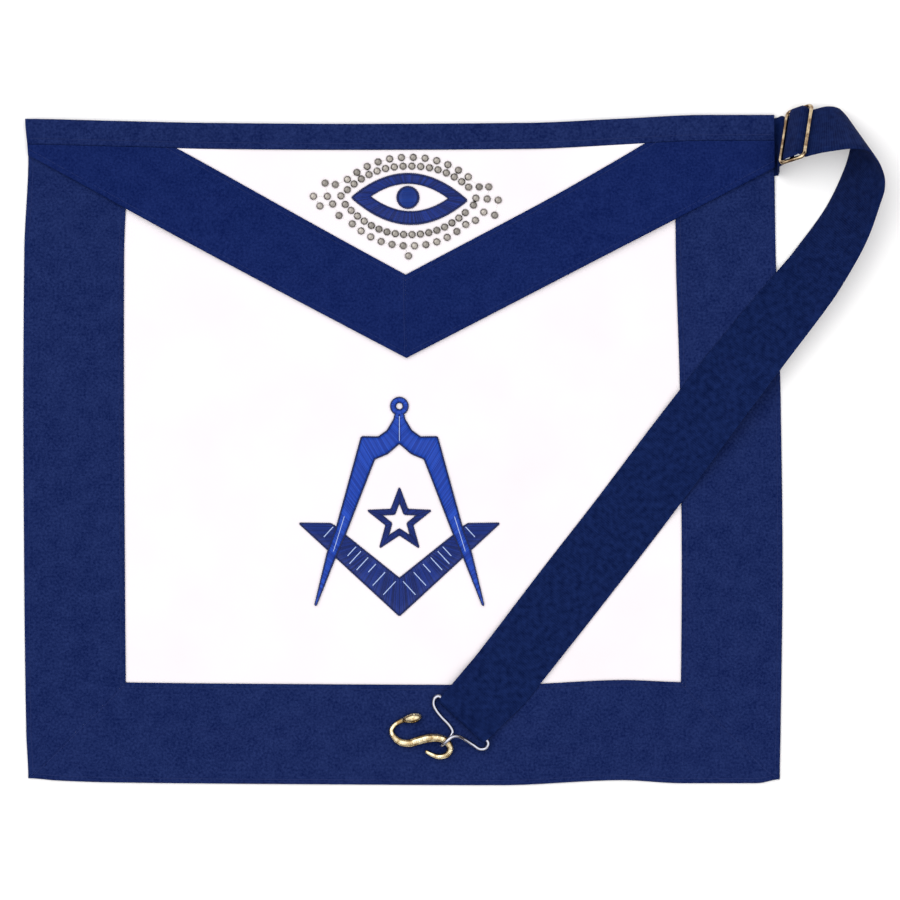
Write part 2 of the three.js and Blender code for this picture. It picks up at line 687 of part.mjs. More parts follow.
function stoneRow(stones) {
  let row = cutStone(stones[0]);
  stones.slice(1).forEach((stone) => {
    row = row.add(cutStone(stone));
  });
  stones.forEach((stone, n) => {
    row = row.add(stoneThread(stone, stones[(n + 1) % stones.length]));
  });
  return row;
}

const innerStones = [
  ...archStones(STONE_ARCHES.innerUpper),
  ...chartedStones(INNER_RIGHT_STONES),
  ...archStones(STONE_ARCHES.innerLower),
];
const outerStones = [
  ...archStones(STONE_ARCHES.outerUpper),
  ...chartedStones(RIGHT_STONES),
  ...archStones(STONE_ARCHES.outerLower),
  ...chartedStones(LEFT_STONES),
];
const [lowestStone] = chartedStones([LOWEST_STONE]);
const aboveLowest = outerStones.reduce((near, stone) =>
  (stone.distanceTo(lowestStone) < near.distanceTo(lowestStone) ? stone : near));

function placeStones(name, row) {
  const mesh = addPiece(name, fromSolid(row), clearStone);
  mesh.position.set(eyeCentre.x, eyeCentre.y, FLAP_EMBLEM_SEAT);
}

placeStones("stones_inner_row", stoneRow(innerStones));
placeStones(
  "stones_outer_row",
  stoneRow(outerStones).add(cutStone(lowestStone)).add(stoneThread(aboveLowest, lowestStone)),
);

// The emblem on the body: a pair of compasses laid over a set square, in padded satin stitch.
// The corners of each right half are shares of the emblem's height, from the emblem's middle.
const COMPASSES_HALF = [
  { x: 0.019, y: 0.425 },
  { x: 0.024, y: 0.4 },
  { x: 0.055, y: 0.348 },
  { x: 0.096, y: 0.318 },
  { x: 0.1735, y: 0.3195 },
  { x: 0.286, y: -0.09 },
  { x: 0.329, y: -0.21 },
  { x: 0.3865, y: -0.451 },
  { x: 0.381, y: -0.452 },
  { x: 0.296, y: -0.238 },
  { x: 0.247, y: -0.125 },
  { x: 0.114, y: 0.218 },
  { x: 0.055, y: 0.2425 },
];
const COMPASSES_NOTCH = { x: 0, y: 0.29 };
const FINIAL = { y: 0.4597, radius: 0.04, hole: 0.0175 };
const SQUARE_HALF = [
  { x: 0.459, y: -0.0764 },
  { x: 0.3135, y: -0.078 },
  { x: 0.277, y: -0.103 },
  { x: 0.2435, y: -0.134 },
];
const SQUARE_HEEL = { x: 0, y: -0.5 };
const SQUARE_INNER = { x: 0, y: -0.329 };

const emblemCentre = new THREE.Vector2(EMBLEM_OFFSET, HALF_HEIGHT - EMBLEM_CENTRE_BELOW_TOP);

function onEmblem(x, y, z) {
  return new THREE.Vector3(emblemCentre.x + x, emblemCentre.y + y, z);
}

function emblemCorner({ x, y }) {
  return [x * EMBLEM_HEIGHT, y * EMBLEM_HEIGHT];
}

function mirrored({ x, y }) {
  return { x: -x, y };
}

// An outline moved outwards by a distance, each corner along the mitre of its two sides.
function grownOutline(corners, distance) {
  const points = corners.map(([x, y]) => new THREE.Vector2(x, y));
  const area = THREE.ShapeUtils.area(points);
  return points.map((point, n) => {
    const before = point.clone().sub(points.at(n - 1)).normalize();
    const after = points[(n + 1) % points.length].clone().sub(point).normalize();
    const outBefore = new THREE.Vector2(before.y, -before.x);
    const outAfter = new THREE.Vector2(after.y, -after.x);
    const mitre = outBefore.clone().add(outAfter).normalize();
    const stretch = (Math.sign(area) * distance) / Math.max(mitre.dot(outBefore), 0.4);
    return [point.x + mitre.x * stretch, point.y + mitre.y * stretch];
  });
}

const squareCorners = [
  SQUARE_HEEL,
  ...SQUARE_HALF,
  SQUARE_INNER,
  ...SQUARE_HALF.toReversed().map(mirrored),
].map(emblemCorner);
addPiece(
  "set_square",
  flatPiece(dividedShape(squareCorners), PANEL_EMBLEM_SEAT, THREAD, onEmblem),
  royalThread,
);

const compassesCorners = [
  ...COMPASSES_HALF,
  COMPASSES_NOTCH,
  ...COMPASSES_HALF.toReversed().map(mirrored),
].map(emblemCorner);
const COMPASSES_HEIGHT = 2 * THREAD + CLEARANCE;
const squareRoom = flatPiece(
  dividedShape(grownOutline(squareCorners, CLEARANCE)),
  PANEL_EMBLEM_SEAT - THREAD,
  2 * THREAD + CLEARANCE,
  onEmblem,
);
const finialShape = new THREE.Shape();
finialShape.absarc(0, FINIAL.y * EMBLEM_HEIGHT, FINIAL.radius * EMBLEM_HEIGHT, 0, 2 * Math.PI);
const finialHole = new THREE.Path();
finialHole.absarc(0, FINIAL.y * EMBLEM_HEIGHT, FINIAL.hole * EMBLEM_HEIGHT, 0, 2 * Math.PI);
finialShape.holes.push(finialHole);
const compassesBody = flatPiece(
  dividedShape(compassesCorners), PANEL_EMBLEM_SEAT, COMPASSES_HEIGHT, onEmblem,
);
const finial = flatPiece(finialShape, PANEL_EMBLEM_SEAT, COMPASSES_HEIGHT, onEmblem, 8);
addPiece(
  "compasses",
  fromSolid(toSolid(compassesBody).add(toSolid(finial)).subtract(toSolid(squareRoom))),
  royalThread,
);

// The star between the legs of the compasses: the outline of a five-pointed star.
function starCorners(radius) {
  const waist = radius * 0.42;
  const corners = [];
  for (let n = 0; n < 10; n += 1) {
    const turn = Math.PI / 2 + (n * Math.PI) / 5;
    const far = n % 2 === 0 ? radius : waist;
    corners.push(new THREE.Vector2(far * Math.cos(turn), far * Math.sin(turn)));
  }
  return corners;
}

const starShape = new THREE.Shape(starCorners(STAR_RADIUS));
starShape.holes.push(new THREE.Path(starCorners(STAR_RADIUS - STAR_STROKE * 1.7)));
addPiece(
  "star",
  flatPiece(starShape, PANEL_EMBLEM_SEAT, THREAD, (x, y, z) =>
    onEmblem(x, y - EMBLEM_HEIGHT * 0.065, z)),
  royalThread,
);

addPiece("strap", makeStrap(), navyWebbing);

// Wire of one thickness round a closed path that lies more or less flat.
function wireLoop(points, wire, steps) {
  const path = new THREE.CatmullRomCurve3(points, true, "centripetal");
  const lift = new THREE.Vector3(0, 0, 1);
  const loop = new THREE.TorusGeometry(1, 0.5, 8, steps);
  return reshape(loop, (x, y, z) => {
    const share = THREE.MathUtils.euclideanModulo(Math.atan2(y, x) / (2 * Math.PI), 1);
    const outward = Math.hypot(x, y) - 1;
    const ahead = path.getTangent(share);
    const side = ahead.clone().cross(lift).normalize();
    const over = side.clone().cross(ahead);
    return path.getPoint(share).addScaledVector(side, outward * wire).addScaledVector(over, z * wire);
  });
}

// The slider: a frame of wire with rounded corners and a middle bar.
const sliderHalf = STRAP_WIDTH / 2 + SLIDER_PLAY + SLIDER_WIRE / 2;
const sliderCorner = SLIDER_WIRE * 1.1;
const sliderRound = [];
[[1, 1], [-1, 1], [-1, -1], [1, -1]].forEach(([x, y]) => {
  const first = new THREE.Vector3(x * SLIDER_PITCH, y * (sliderHalf - sliderCorner), 0);
  const middle = new THREE.Vector3(
    x * (SLIDER_PITCH - sliderCorner * 0.3), y * (sliderHalf - sliderCorner * 0.3), 0,
  );
  const last = new THREE.Vector3(x * (SLIDER_PITCH - sliderCorner), y * sliderHalf, 0);
  sliderRound.push(...(x * y > 0 ? [first, middle, last] : [last, middle, first]));
});
const sliderWire = toSolid(wireLoop(sliderRound, SLIDER_WIRE, 32));
const middleBar = new THREE.CylinderGeometry(
  SLIDER_WIRE / 2, SLIDER_WIRE / 2, 2 * sliderHalf, 8,
);
const sliderMesh = addPiece(
  "strap_slider",
  fromSolid(sliderWire.add(toSolid(closeSurface(middleBar)))),
  paleGold,
);
sliderMesh.setRotationFromMatrix(
  new THREE.Matrix4().makeBasis(slider.along, slider.across.clone().negate(), slider.up),
);
sliderMesh.position.copy(slider.middle).addScaledVector(slider.up, SLIDER_HUMP);

// The ring at the strap's end: a wide triangle of wire whose nose is bent upright round the rim of
// the hook's eye, one leg below the rim and one above. "across" is a share of the ring's width,
// "ahead" of its reach, and "height" goes from 0 on the border to 1 over the rim.
const RING_BAR = 0.24;
const RING_POINTS = [
  { across: -0.4, ahead: 0, height: RING_BAR },
  { across: 0, ahead: 0, height: RING_BAR },
  { across: 0.4, ahead: 0, height: RING_BAR },
  { across: 0.487, ahead: 0.01, height: RING_BAR },
  { across: 0.518, ahead: 0.09, height: 0.2 },
  { across: 0.52, ahead: 0.21, height: 0.13 },
  { across: 0.465, ahead: 0.325, height: 0.1 },
  { across: 0.353, ahead: 0.365, height: 0.17 },
  { across: 0.204, ahead: 0.42, height: 0.48 },
  { across: 0.105, ahead: 0.485, height: 0.84 },
  { across: 0.055, ahead: 0.61, height: 1 },
  { across: 0.04, ahead: 0.8, height: 1 },
  { across: 0.032, ahead: 0.95, height: 0.8 },
  { across: 0.03, ahead: 1, height: 0.5 },
  { across: 0.03, ahead: 0.95, height: 0.2 },
  { across: 0.035, ahead: 0.8, height: 0 },
  { across: 0.035, ahead: 0.61, height: 0 },
  { across: 0.005, ahead: 0.485, height: 0 },
  { across: -0.091, ahead: 0.42, height: 0 },
  { across: -0.255, ahead: 0.4, height: 0.02 },
  { across: -0.376, ahead: 0.36, height: 0.06 },
  { across: -0.465, ahead: 0.28, height: 0.1 },
  { across: -0.508, ahead: 0.14, height: 0.18 },
  { across: -0.487, ahead: 0.01, height: RING_BAR },
];
const RING_LOW = BORDER_TOP + CLEARANCE + RING_WIRE / 2;
const HOOK_RIM = HOOK_LENGTH * 0.116;
const RING_HIGH = RING_LOW + HOOK_RIM + 2 * CLEARANCE + RING_WIRE;
const ringRound = RING_POINTS.map(({ across, ahead, height }) => new THREE.Vector3(
  across * RING_WIDTH,
  -ahead * RING_REACH,
  height === RING_BAR ? BAR_HEIGHT : THREE.MathUtils.lerp(RING_LOW, RING_HIGH, height),
));
const ringMesh = addPiece("strap_ring", wireLoop(ringRound, RING_WIRE, 56), brightSteel);
const ringPlace = lastMiddle.clone().addScaledVector(endAhead, HEM_RUN);
ringMesh.position.set(ringPlace.x, ringPlace.y, 0);
ringMesh.rotation.z = Math.atan2(endAcross.y, endAcross.x);

// The serpent hook: an S of wire with a swollen head and a tail that curls into an eye, whose rim
// lies in the ring's nose. x and y are shares of the hook's length from the middle of the eye,
// `radius` the same, and `lift` goes from 0 on the border to 1 where the ring passes below.
const HOOK_ROWS = [
  { x: -0.295, y: 0.456, radius: 0.02, lift: 0 },
  { x: -0.305, y: 0.455, radius: 0.055, lift: 0 },
  { x: -0.34, y: 0.449, radius: 0.075, lift: 0 },
  { x: -0.407, y: 0.436, radius: 0.085, lift: 0 },
  { x: -0.49, y: 0.422, radius: 0.07, lift: 0 },
  { x: -0.58, y: 0.395, radius: 0.042, lift: 0 },
  { x: -0.681, y: 0.338, radius: 0.038, lift: 0 },
  { x: -0.744, y: 0.25, radius: 0.042, lift: 0 },
  { x: -0.713, y: 0.149, radius: 0.048, lift: 0 },
  { x: -0.612, y: 0.06, radius: 0.058, lift: 0 },
  { x: -0.47, y: 0.038, radius: 0.066, lift: 0.05 },
  { x: -0.327, y: 0.079, radius: 0.07, lift: 0.2 },
  { x: -0.185, y: 0.117, radius: 0.07, lift: 0.5 },
  { x: -0.043, y: 0.128, radius: 0.066, lift: 0.85 },
  { x: 0.084, y: 0.098, radius: 0.06, lift: 1 },
  { x: 0.163, y: 0.024, radius: 0.055, lift: 1 },
  { x: 0.183, y: -0.065, radius: 0.052, lift: 0.8 },
  { x: 0.123, y: -0.147, radius: 0.048, lift: 0.45 },
  { x: 0, y: -0.172, radius: 0.044, lift: 0.18 },
  { x: -0.114, y: -0.136, radius: 0.038, lift: 0.05 },
  { x: -0.185, y: -0.098, radius: 0.033, lift: 0 },
  { x: -0.203, y: -0.088, radius: 0.018, lift: 0 },
];
const HOOK_STEPS = 44;
const HOOK_SIDES = 8;
const hookLast = HOOK_ROWS.length - 1;

function makeHook() {
  const seat = BORDER_TOP + CLEARANCE;
  const overRing = RING_WIRE + CLEARANCE;
  const route = new THREE.CatmullRomCurve3(
    HOOK_ROWS.map(({ x, y, radius, lift }) => new THREE.Vector3(
      x * HOOK_LENGTH,
      y * HOOK_LENGTH,
      seat + radius * HOOK_LENGTH + lift * overRing,
    )),
    false,
    "catmullrom",
  );
  const wire = new THREE.CylinderGeometry(1, 1, 1, HOOK_SIDES, HOOK_STEPS);
  return reshape(wire, (x, along, y) => {
    const share = THREE.MathUtils.clamp(along + 0.5, 0, 1);
    const middle = route.getPoint(share);
    const ahead = route.getTangent(share);
    const side = new THREE.Vector3(0, 0, 1).cross(ahead).normalize();
    const over = ahead.clone().cross(side);
    const radius = readTable(HOOK_ROWS, "radius", share * hookLast) * HOOK_LENGTH;
    return middle.addScaledVector(side, x * radius).addScaledVector(over, y * radius);
  });
}

const hookMesh = addPiece("serpent_hook", makeHook(), paleGold);
const hookPlace = ringPlace.clone().addScaledVector(endAhead, RING_REACH + HOOK_FROM_RING);
hookMesh.position.set(hookPlace.x, hookPlace.y, 0);

export default apron;
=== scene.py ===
# A ceremonial apron that lies flat on a pale table, seen from straight above. It is dressed in the
# order in which it is sewn: leather, borders, emblem, flap, eye, stones, waistband, strap, metal.
# Lengths in the tables are millimetres, +X right, +Y towards the waistband, +Z up off the table.

import math

import bmesh
import bpy
from mathutils import Matrix, Vector, noise


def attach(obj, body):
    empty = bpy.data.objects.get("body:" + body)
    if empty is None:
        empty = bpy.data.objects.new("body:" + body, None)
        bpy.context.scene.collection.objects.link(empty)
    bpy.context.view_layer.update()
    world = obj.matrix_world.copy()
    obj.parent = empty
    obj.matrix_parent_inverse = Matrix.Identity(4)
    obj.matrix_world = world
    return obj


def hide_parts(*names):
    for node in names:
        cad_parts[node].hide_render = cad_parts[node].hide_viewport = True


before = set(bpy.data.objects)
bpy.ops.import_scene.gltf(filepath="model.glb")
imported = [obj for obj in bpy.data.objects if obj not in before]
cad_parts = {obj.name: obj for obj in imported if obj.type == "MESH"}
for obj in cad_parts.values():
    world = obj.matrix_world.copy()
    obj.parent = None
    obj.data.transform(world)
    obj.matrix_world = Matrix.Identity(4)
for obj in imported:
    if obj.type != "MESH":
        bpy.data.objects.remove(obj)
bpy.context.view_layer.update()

# Body leather
# One piece of white lambskin, cut as a rectangle and laid down, so that its edges bow a little.
# The ribbon borders are sewn round it, and it shows bare in the middle.
APRON_WIDTH = 406
APRON_HEIGHT = 356
LEATHER = 1.2
RIBBON = 1.0
CLEARANCE = 0.3
EDGE_COVER = RIBBON + CLEARANCE
HALF_WIDTH = APRON_WIDTH / 2
HALF_HEIGHT = APRON_HEIGHT / 2
MM = 0.001

LEFT_EDGE = [
    {"at": 0.0, "out": -0.004},
    {"at": 0.07, "out": -0.0013},
    {"at": 0.29, "out": 0.0013},
    {"at": 0.58, "out": 0.0026},
    {"at": 0.8, "out": 0.0013},
    {"at": 0.94, "out": -0.004},
    {"at": 1.0, "out": 0.0},
]
RIGHT_EDGE = [
    {"at": 0.0, "out": -0.001},
    {"at": 0.07, "out": 0.0},
    {"at": 0.32, "out": 0.0026},
    {"at": 0.58, "out": 0.0},
    {"at": 0.8, "out": -0.0066},
    {"at": 1.0, "out": -0.0085},
]
TOP_EDGE = [
    {"at": 0.0, "out": 0.003},
    {"at": 0.12, "out": 0.0},
    {"at": 0.24, "out": -0.003},
    {"at": 0.44, "out": -0.0045},
    {"at": 0.67, "out": -0.003},
    {"at": 0.79, "out": 0.003},
    {"at": 0.91, "out": 0.009},
    {"at": 1.0, "out": 0.009},
]
BOTTOM_EDGE = [
    {"at": 0.0, "out": -0.0075},
    {"at": 0.04, "out": -0.004},
    {"at": 0.12, "out": -0.001},
    {"at": 0.36, "out": 0.0015},
    {"at": 0.63, "out": 0.003},
    {"at": 0.79, "out": -0.0045},
    {"at": 0.87, "out": 0.0},
    {"at": 0.97, "out": 0.0},
    {"at": 1.0, "out": -0.006},
]


def mix(a, b, share):
    return a + (b - a) * share


def smooth_step(value, low, high):
    share = min(max((value - low) / (high - low), 0), 1)
    return share * share * (3 - 2 * share)


def read_table(rows, column, place, key=None):
    """The value of a column between two rows, on a curve that never overshoots a row."""

    def where(n):
        return rows[n][key] if key else n

    def slope(n):
        if n in (0, len(rows) - 1):
            return 0
        before = (rows[n][column] - rows[n - 1][column]) / (where(n) - where(n - 1))
        after = (rows[n + 1][column] - rows[n][column]) / (where(n + 1) - where(n))
        return 2 * before * after / (before + after) if before * after > 0 else 0

    row = 0
    while row < len(rows) - 2 and where(row + 1) < place:
        row += 1
    span = where(row + 1) - where(row)
    share = min(max((place - where(row)) / span, 0), 1)
    square = share * share
    cube = square * share
    return (
        (2 * cube - 3 * square + 1) * rows[row][column]
        + (cube - 2 * square + share) * slope(row) * span
        + (3 * square - 2 * cube) * rows[row + 1][column]
        + (cube - square) * slope(row + 1) * span
    )


def edge_steps(rows, count=400):
    """A table of an edge read once at even steps, for quick use."""
    return [read_table(rows, "out", n / count, "at") for n in range(count + 1)]


left_out = edge_steps(LEFT_EDGE)
right_out = edge_steps(RIGHT_EDGE)
top_out = edge_steps(TOP_EDGE)
bottom_out = edge_steps(BOTTOM_EDGE)


def between(values, share):
    place = min(max(share, 0), 1) * (len(values) - 1)
    low = min(int(place), len(values) - 2)
    return mix(values[low], values[low + 1], place - low)


def settle(x, y, z):
    """Where a point of the flat pattern comes to lie, in metres, once its edges bow."""
    across = x / APRON_WIDTH + 0.5
    up = y / APRON_HEIGHT + 0.5
    left = -between(left_out, up) * APRON_WIDTH
    right = between(right_out, up) * APRON_WIDTH
    bottom = -between(bottom_out, across) * APRON_HEIGHT
    top = between(top_out, across) * APRON_HEIGHT
    shifted_x = x + mix(left, right, min(max(across, 0), 1))
    shifted_y = y + mix(bottom, top, min(max(up, 0), 1))
    return Vector((shifted_x, shifted_y, z)) * MM


def ripple(x, y, reach, seed):
    """A gentle unevenness between -1 and 1 that repeats about every `reach` millimetres."""
    return noise.noise(Vector((x / reach, y / reach, seed)))


def mapped_grid(across, along, place, pattern=(1, 1), chart_at=None):
    """A grid that `place` bends into a sheet or a closed tube. `pattern` is the size of its map,
    unless chart_at(u, v) gives the map's points."""
    shell = bmesh.new()
    bmesh.ops.create_grid(shell, x_segments=across, y_segments=along, size=0.5)
    chart = shell.loops.layers.uv.new("UVMap")
    for face in shell.faces:
        for loop in face.loops:
            u, v = loop.vert.co.x + 0.5, loop.vert.co.y + 0.5
            loop[chart].uv = chart_at(u, v) if chart_at else (u * pattern[0], v * pattern[1])
    for vert in shell.verts:
        vert.co = place(vert.co.x + 0.5, vert.co.y + 0.5)
    bmesh.ops.remove_doubles(shell, verts=shell.verts, dist=1e-6)
    return shell


def close_ends(shell):
    open_edges = [edge for edge in shell.edges if edge.is_boundary]
    bmesh.ops.holes_fill(shell, edges=open_edges, sides=0)


def finish_piece(name, parts, material, nodes=(), smooth=True):
    """Joins the parts into one piece with its faces outwards, and puts it on the apron."""
    whole = bmesh.new()
    for part in parts:
        bmesh.ops.recalc_face_normals(part, faces=part.faces)
        loose = bpy.data.meshes.new(name)
        part.to_mesh(loose)
        part.free()
        whole.from_mesh(loose)
        bpy.data.meshes.remove(loose)
    mesh = bpy.data.meshes.new(name)
    whole.to_mesh(mesh)
    whole.free()
    for face in mesh.polygons:
        face.use_smooth = smooth
    mesh.set_sharp_from_angle(angle=math.radians(75))
    mesh.materials.append(material)
    piece = bpy.data.objects.new(name, mesh)
    bpy.context.scene.collection.objects.link(piece)
    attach(piece, "root")
    if nodes:
        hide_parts(*nodes)
    return piece


def linear(hex_colour):
    """The linear values of an sRGB hex colour."""
    values = []
    for start in (1, 3, 5):
        value = int(hex_colour[start : start + 2], 16) / 255
        values.append(value / 12.92 if value <= 0.04045 else ((value + 0.055) / 1.055) ** 2.4)
    return (*values, 1.0)


def add_node(tree, kind, settings=None, **sockets):
    """Adds a node. `settings` are its properties, and each socket takes a value or a link."""
    node = tree.nodes.new(kind)
    for name, value in (settings or {}).items():
        setattr(node, name, value)
    for name, value in sockets.items():
        number = name[1:]
        socket = node.inputs[int(number) if number.isdigit() else name.replace("_", " ")]
        if isinstance(value, bpy.types.NodeSocket):
            tree.links.new(value, socket)
        else:
            socket.default_value = value
    return node


def new_material(name, **constants):
    """A material with the shader's constants set on its own sockets."""
    material = bpy.data.materials.new(name)
    material.use_nodes = True
    shader = material.node_tree.nodes["Principled BSDF"]
    for socket, value in constants.items():
        shader.inputs[socket.replace("_", " ")].default_value = value
    return material, material.node_tree, shader


def object_place(tree):
    return add_node(tree, "ShaderNodeTexCoord").outputs["Object"]


def noise_at(tree, place, reach, detail, **more):
    """Noise whose patches are about `reach` metres wide."""
    kind = "ShaderNodeTexNoise"
    return add_node(tree, kind, Vector=place, Scale=1 / reach, Detail=detail, **more).outputs["Fac"]


def times_plus(tree, value, factor, addend):
    math_node = add_node(
        tree, "ShaderNodeMath", {"operation": "MULTIPLY_ADD"}, _0=value, _1=factor, _2=addend
    )
    return math_node.outputs[0]


def blend_colours(tree, share, deep, bright, target):
    """Mixes two sRGB hex colours by share into a colour socket."""
    colours = {"_0": share, "_6": linear(deep), "_7": linear(bright)}
    mixed = add_node(tree, "ShaderNodeMix", {"data_type": "RGBA"}, **colours)
    tree.links.new(mixed.outputs[2], target)


def emboss(tree, shader, height, strength, distance):
    bump = add_node(tree, "ShaderNodeBump", Height=height, Strength=strength, Distance=distance)
    tree.links.new(bump.outputs[0], shader.inputs["Normal"])


# White lambskin, tanned and finished with a thin white coat: a semi-matt surface with a grain of
# about 1 mm and slow changes of tone of a few centimetres.
white_lambskin, tree, shader = new_material(
    "white_lambskin", Roughness=0.52, Specular_IOR_Level=0.4, Coat_Weight=0.08, Coat_Roughness=0.4
)
place = object_place(tree)
tone = noise_at(tree, place, 0.045, 3.0)
blend_colours(tree, tone, "#ebe6e9", "#e0dadf", shader.inputs["Base Color"])
pebbles = add_node(
    tree, "ShaderNodeTexVoronoi", {"feature": "DISTANCE_TO_EDGE"}, Vector=place, Scale=1 / 0.0011
)
pores = noise_at(tree, place, 0.006, 4.0)
grain = times_plus(tree, pores, 0.8, pebbles.outputs["Distance"])
emboss(tree, shader, grain, 0.25, 0.00012)

BODY_ACROSS = 120
BODY_ALONG = 106
TOP_LAP = 0.05
inset_x = HALF_WIDTH - EDGE_COVER
inset_y = HALF_HEIGHT - EDGE_COVER


def thicken(shell, thickness):
    """Gives a sheet its underside and rim."""
    bmesh.ops.recalc_face_normals(shell, faces=shell.faces)
    if sum(face.normal.z for face in shell.faces) < 0:
        bmesh.ops.reverse_faces(shell, faces=shell.faces)
    bmesh.ops.solidify(shell, geom=shell.faces, thickness=thickness * MM)


def body_top(u, v):
    x = mix(-inset_x, inset_x, u)
    y = mix(-inset_y, inset_y, v)
    lift = 0.1 * ripple(x, y, 38, 1.0) + 0.04 * ripple(x, y, 9, 2.0)
    return settle(x, y, LEATHER - TOP_LAP + lift)


body_shell = mapped_grid(BODY_ACROSS, BODY_ALONG, body_top)
thicken(body_shell, LEATHER - 4 * TOP_LAP)
body_leather = finish_piece(
    "body_leather", [body_shell], white_lambskin, ["body_panel"]
)

# Ribbon borders of the body
# Navy ribbon 54 mm wide, folded over the cut edge of the leather and sewn down along both sides.
# The two lower corners are mitred, and the side ribbons run up under the flap to the waistband.
BORDER_WIDTH = 54
BORDER_SEAT = LEATHER + CLEARANCE
BORDER_TOP = BORDER_SEAT + RIBBON
WAISTBAND_DEPTH = 13.6
WAIST_LINE = HALF_HEIGHT - WAISTBAND_DEPTH - CLEARANCE
MITRE_JOIN = 0.02
SEAM_IN = 2.6
SEAM_DEPTH = 0.16
SEAM_REACH = 0.8
PUCKER = 0.13
SWELL = 0.1
RIBBON_MARKS = 24
RIBBON_MAP = 0.12


def woven_bands(tree, coords, direction, pitch, **more):
    """Ribs of a weave, `pitch` metres apart."""
    bands = {"wave_type": "BANDS", "bands_direction": direction}
    flat = coords.outputs["UV"]
    return add_node(
        tree, "ShaderNodeTexWave", bands, Vector=flat, Scale=0.314 / pitch, **more
    ).outputs["Fac"]


def navy_cloth(name):
    """The matt base of all the navy cloth, with a faint blue sheen."""
    return new_material(
        name,
        Roughness=0.8,
        Specular_IOR_Level=0.06,
        Sheen_Weight=0.03,
        Sheen_Roughness=0.5,
        Sheen_Tint=linear("#5f78d8"),
    )


# Navy ribbon, woven of fine spun yarn with a short nap: nearly matt, deep blue, with a speckle of
# lighter fibres under a millimetre long and ribs 0.9 mm apart.
def ribbon_material(name, deep, bright):
    material, tree, shader = navy_cloth(name)
    coords = add_node(tree, "ShaderNodeTexCoord")
    place = coords.outputs["Object"]
    nap = noise_at(tree, place, 0.0013, 4.0, Roughness=0.65)
    both = times_plus(tree, noise_at(tree, place, 0.008, 3.0), 0.3, nap)
    spread = add_node(tree, "ShaderNodeMapRange", Value=both, From_Min=0.45, From_Max=0.85)
    blend_colours(tree, spread.outputs[0], deep, bright, shader.inputs["Base Color"])
    ribs = woven_bands(tree, coords, "Y", 0.0009, Distortion=1.2, Detail=1.0)
    emboss(tree, shader, times_plus(tree, nap, 1.6, ribs), 0.4, 0.00015)
    return material


navy_ribbon = ribbon_material("navy_grosgrain", "#021242", "#1e2d5e")


def ribbon_loop(width, seat, top, first=None):
    """The closed section of a ribbon that turns down over the edge at 0, as (inward, height)."""
    roll = 0.95
    foot = 0.0
    loop = [(0.0, foot), (0.0, (foot + top - roll) / 2)]
    for step in range(6):
        turn = math.radians(90 * step / 5)
        loop.append((roll - roll * math.cos(turn), top - roll + roll * math.sin(turn)))
    start = roll
    if first:
        loop.append((first, top))
        start = first
    for step in range(1, RIBBON_MARKS):
        loop.append((mix(start, width - 0.25, step / RIBBON_MARKS), top))
    loop += [(width - 0.25, top - 0.02), (width, top - 0.3), (width, seat)]
    for step in range(1, 5):
        loop.append((mix(width, RIBBON, step / 5), seat))
    loop += [(RIBBON, seat), (RIBBON, foot)]
    return loop


def seam_dip(inward, width):
    """How the sewing draws the ribbon down along its two seams, and lets it swell between."""
    dip = 0
    for seam in (SEAM_IN, width - SEAM_IN):
        dip += math.exp(-(((inward - seam) / SEAM_REACH) ** 2))
    return -SEAM_DEPTH * dip


def ribbon_swell(inward, along, width, seed):
    """The unevenness of sewn ribbon: puckers along its seams and slow waves in the middle."""
    near = min(abs(inward - SEAM_IN), abs(inward - (width - SEAM_IN)))
    pucker = math.exp(-((near / 5) ** 2)) * ripple(inward * 0.3, along, 4.5, seed)
    wave = ripple(inward, along, 26, seed + 5)
    return PUCKER * pucker + SWELL * wave


def ribbon_strip(section, steps, place_on, length):
    """A ribbon with that section, carried along by place_on(inward, height, share).

    At each end one more row lets the upper side down onto the lower one, which closes the end."""
    count = len(section)
    seat, foot = section[-2][1], section[-1][1]
    rows = steps + 2

    def place(u, v):
        inward, height = section[round(u * count) % count]
        row = round(v * rows)
        if row in (0, rows):
            height = min(height, seat if inward >= RIBBON else foot)
        return place_on(inward, height, min(max((row - 1) / steps, 0), 1))

    strip = mapped_grid(count, rows, place, (RIBBON_MAP, length * MM))
    close_ends(strip)
    return strip


border_loop = ribbon_loop(BORDER_WIDTH, BORDER_SEAT, BORDER_TOP)


def dressed(inward, height, along, width, top, seed):
    """The height of a point of the ribbon once it is sewn: only its upper side moves."""
    if height < top - 0.5 or inward < 0.3:
        return height
    return height + seam_dip(inward, width) + ribbon_swell(inward, along, width, seed)


def side_border(side, seed):
    def place_on(inward, height, share):
        start = -HALF_HEIGHT + inward + MITRE_JOIN * math.sqrt(2)
        y = mix(start, WAIST_LINE, share)
        z = dressed(inward, height, y, BORDER_WIDTH, BORDER_TOP, seed)
        return settle(side * (HALF_WIDTH - inward), y, z)

    return ribbon_strip(border_loop, 190, place_on, APRON_HEIGHT)


def bottom_border():
    def place_on(inward, height, share):
        end = HALF_WIDTH - inward - MITRE_JOIN * math.sqrt(2)
        x = mix(-end, end, share)
        z = dressed(inward, height, x, BORDER_WIDTH, BORDER_TOP, 31)
        return settle(x, -HALF_HEIGHT + inward, z)

    return ribbon_strip(border_loop, 220, place_on, APRON_WIDTH)


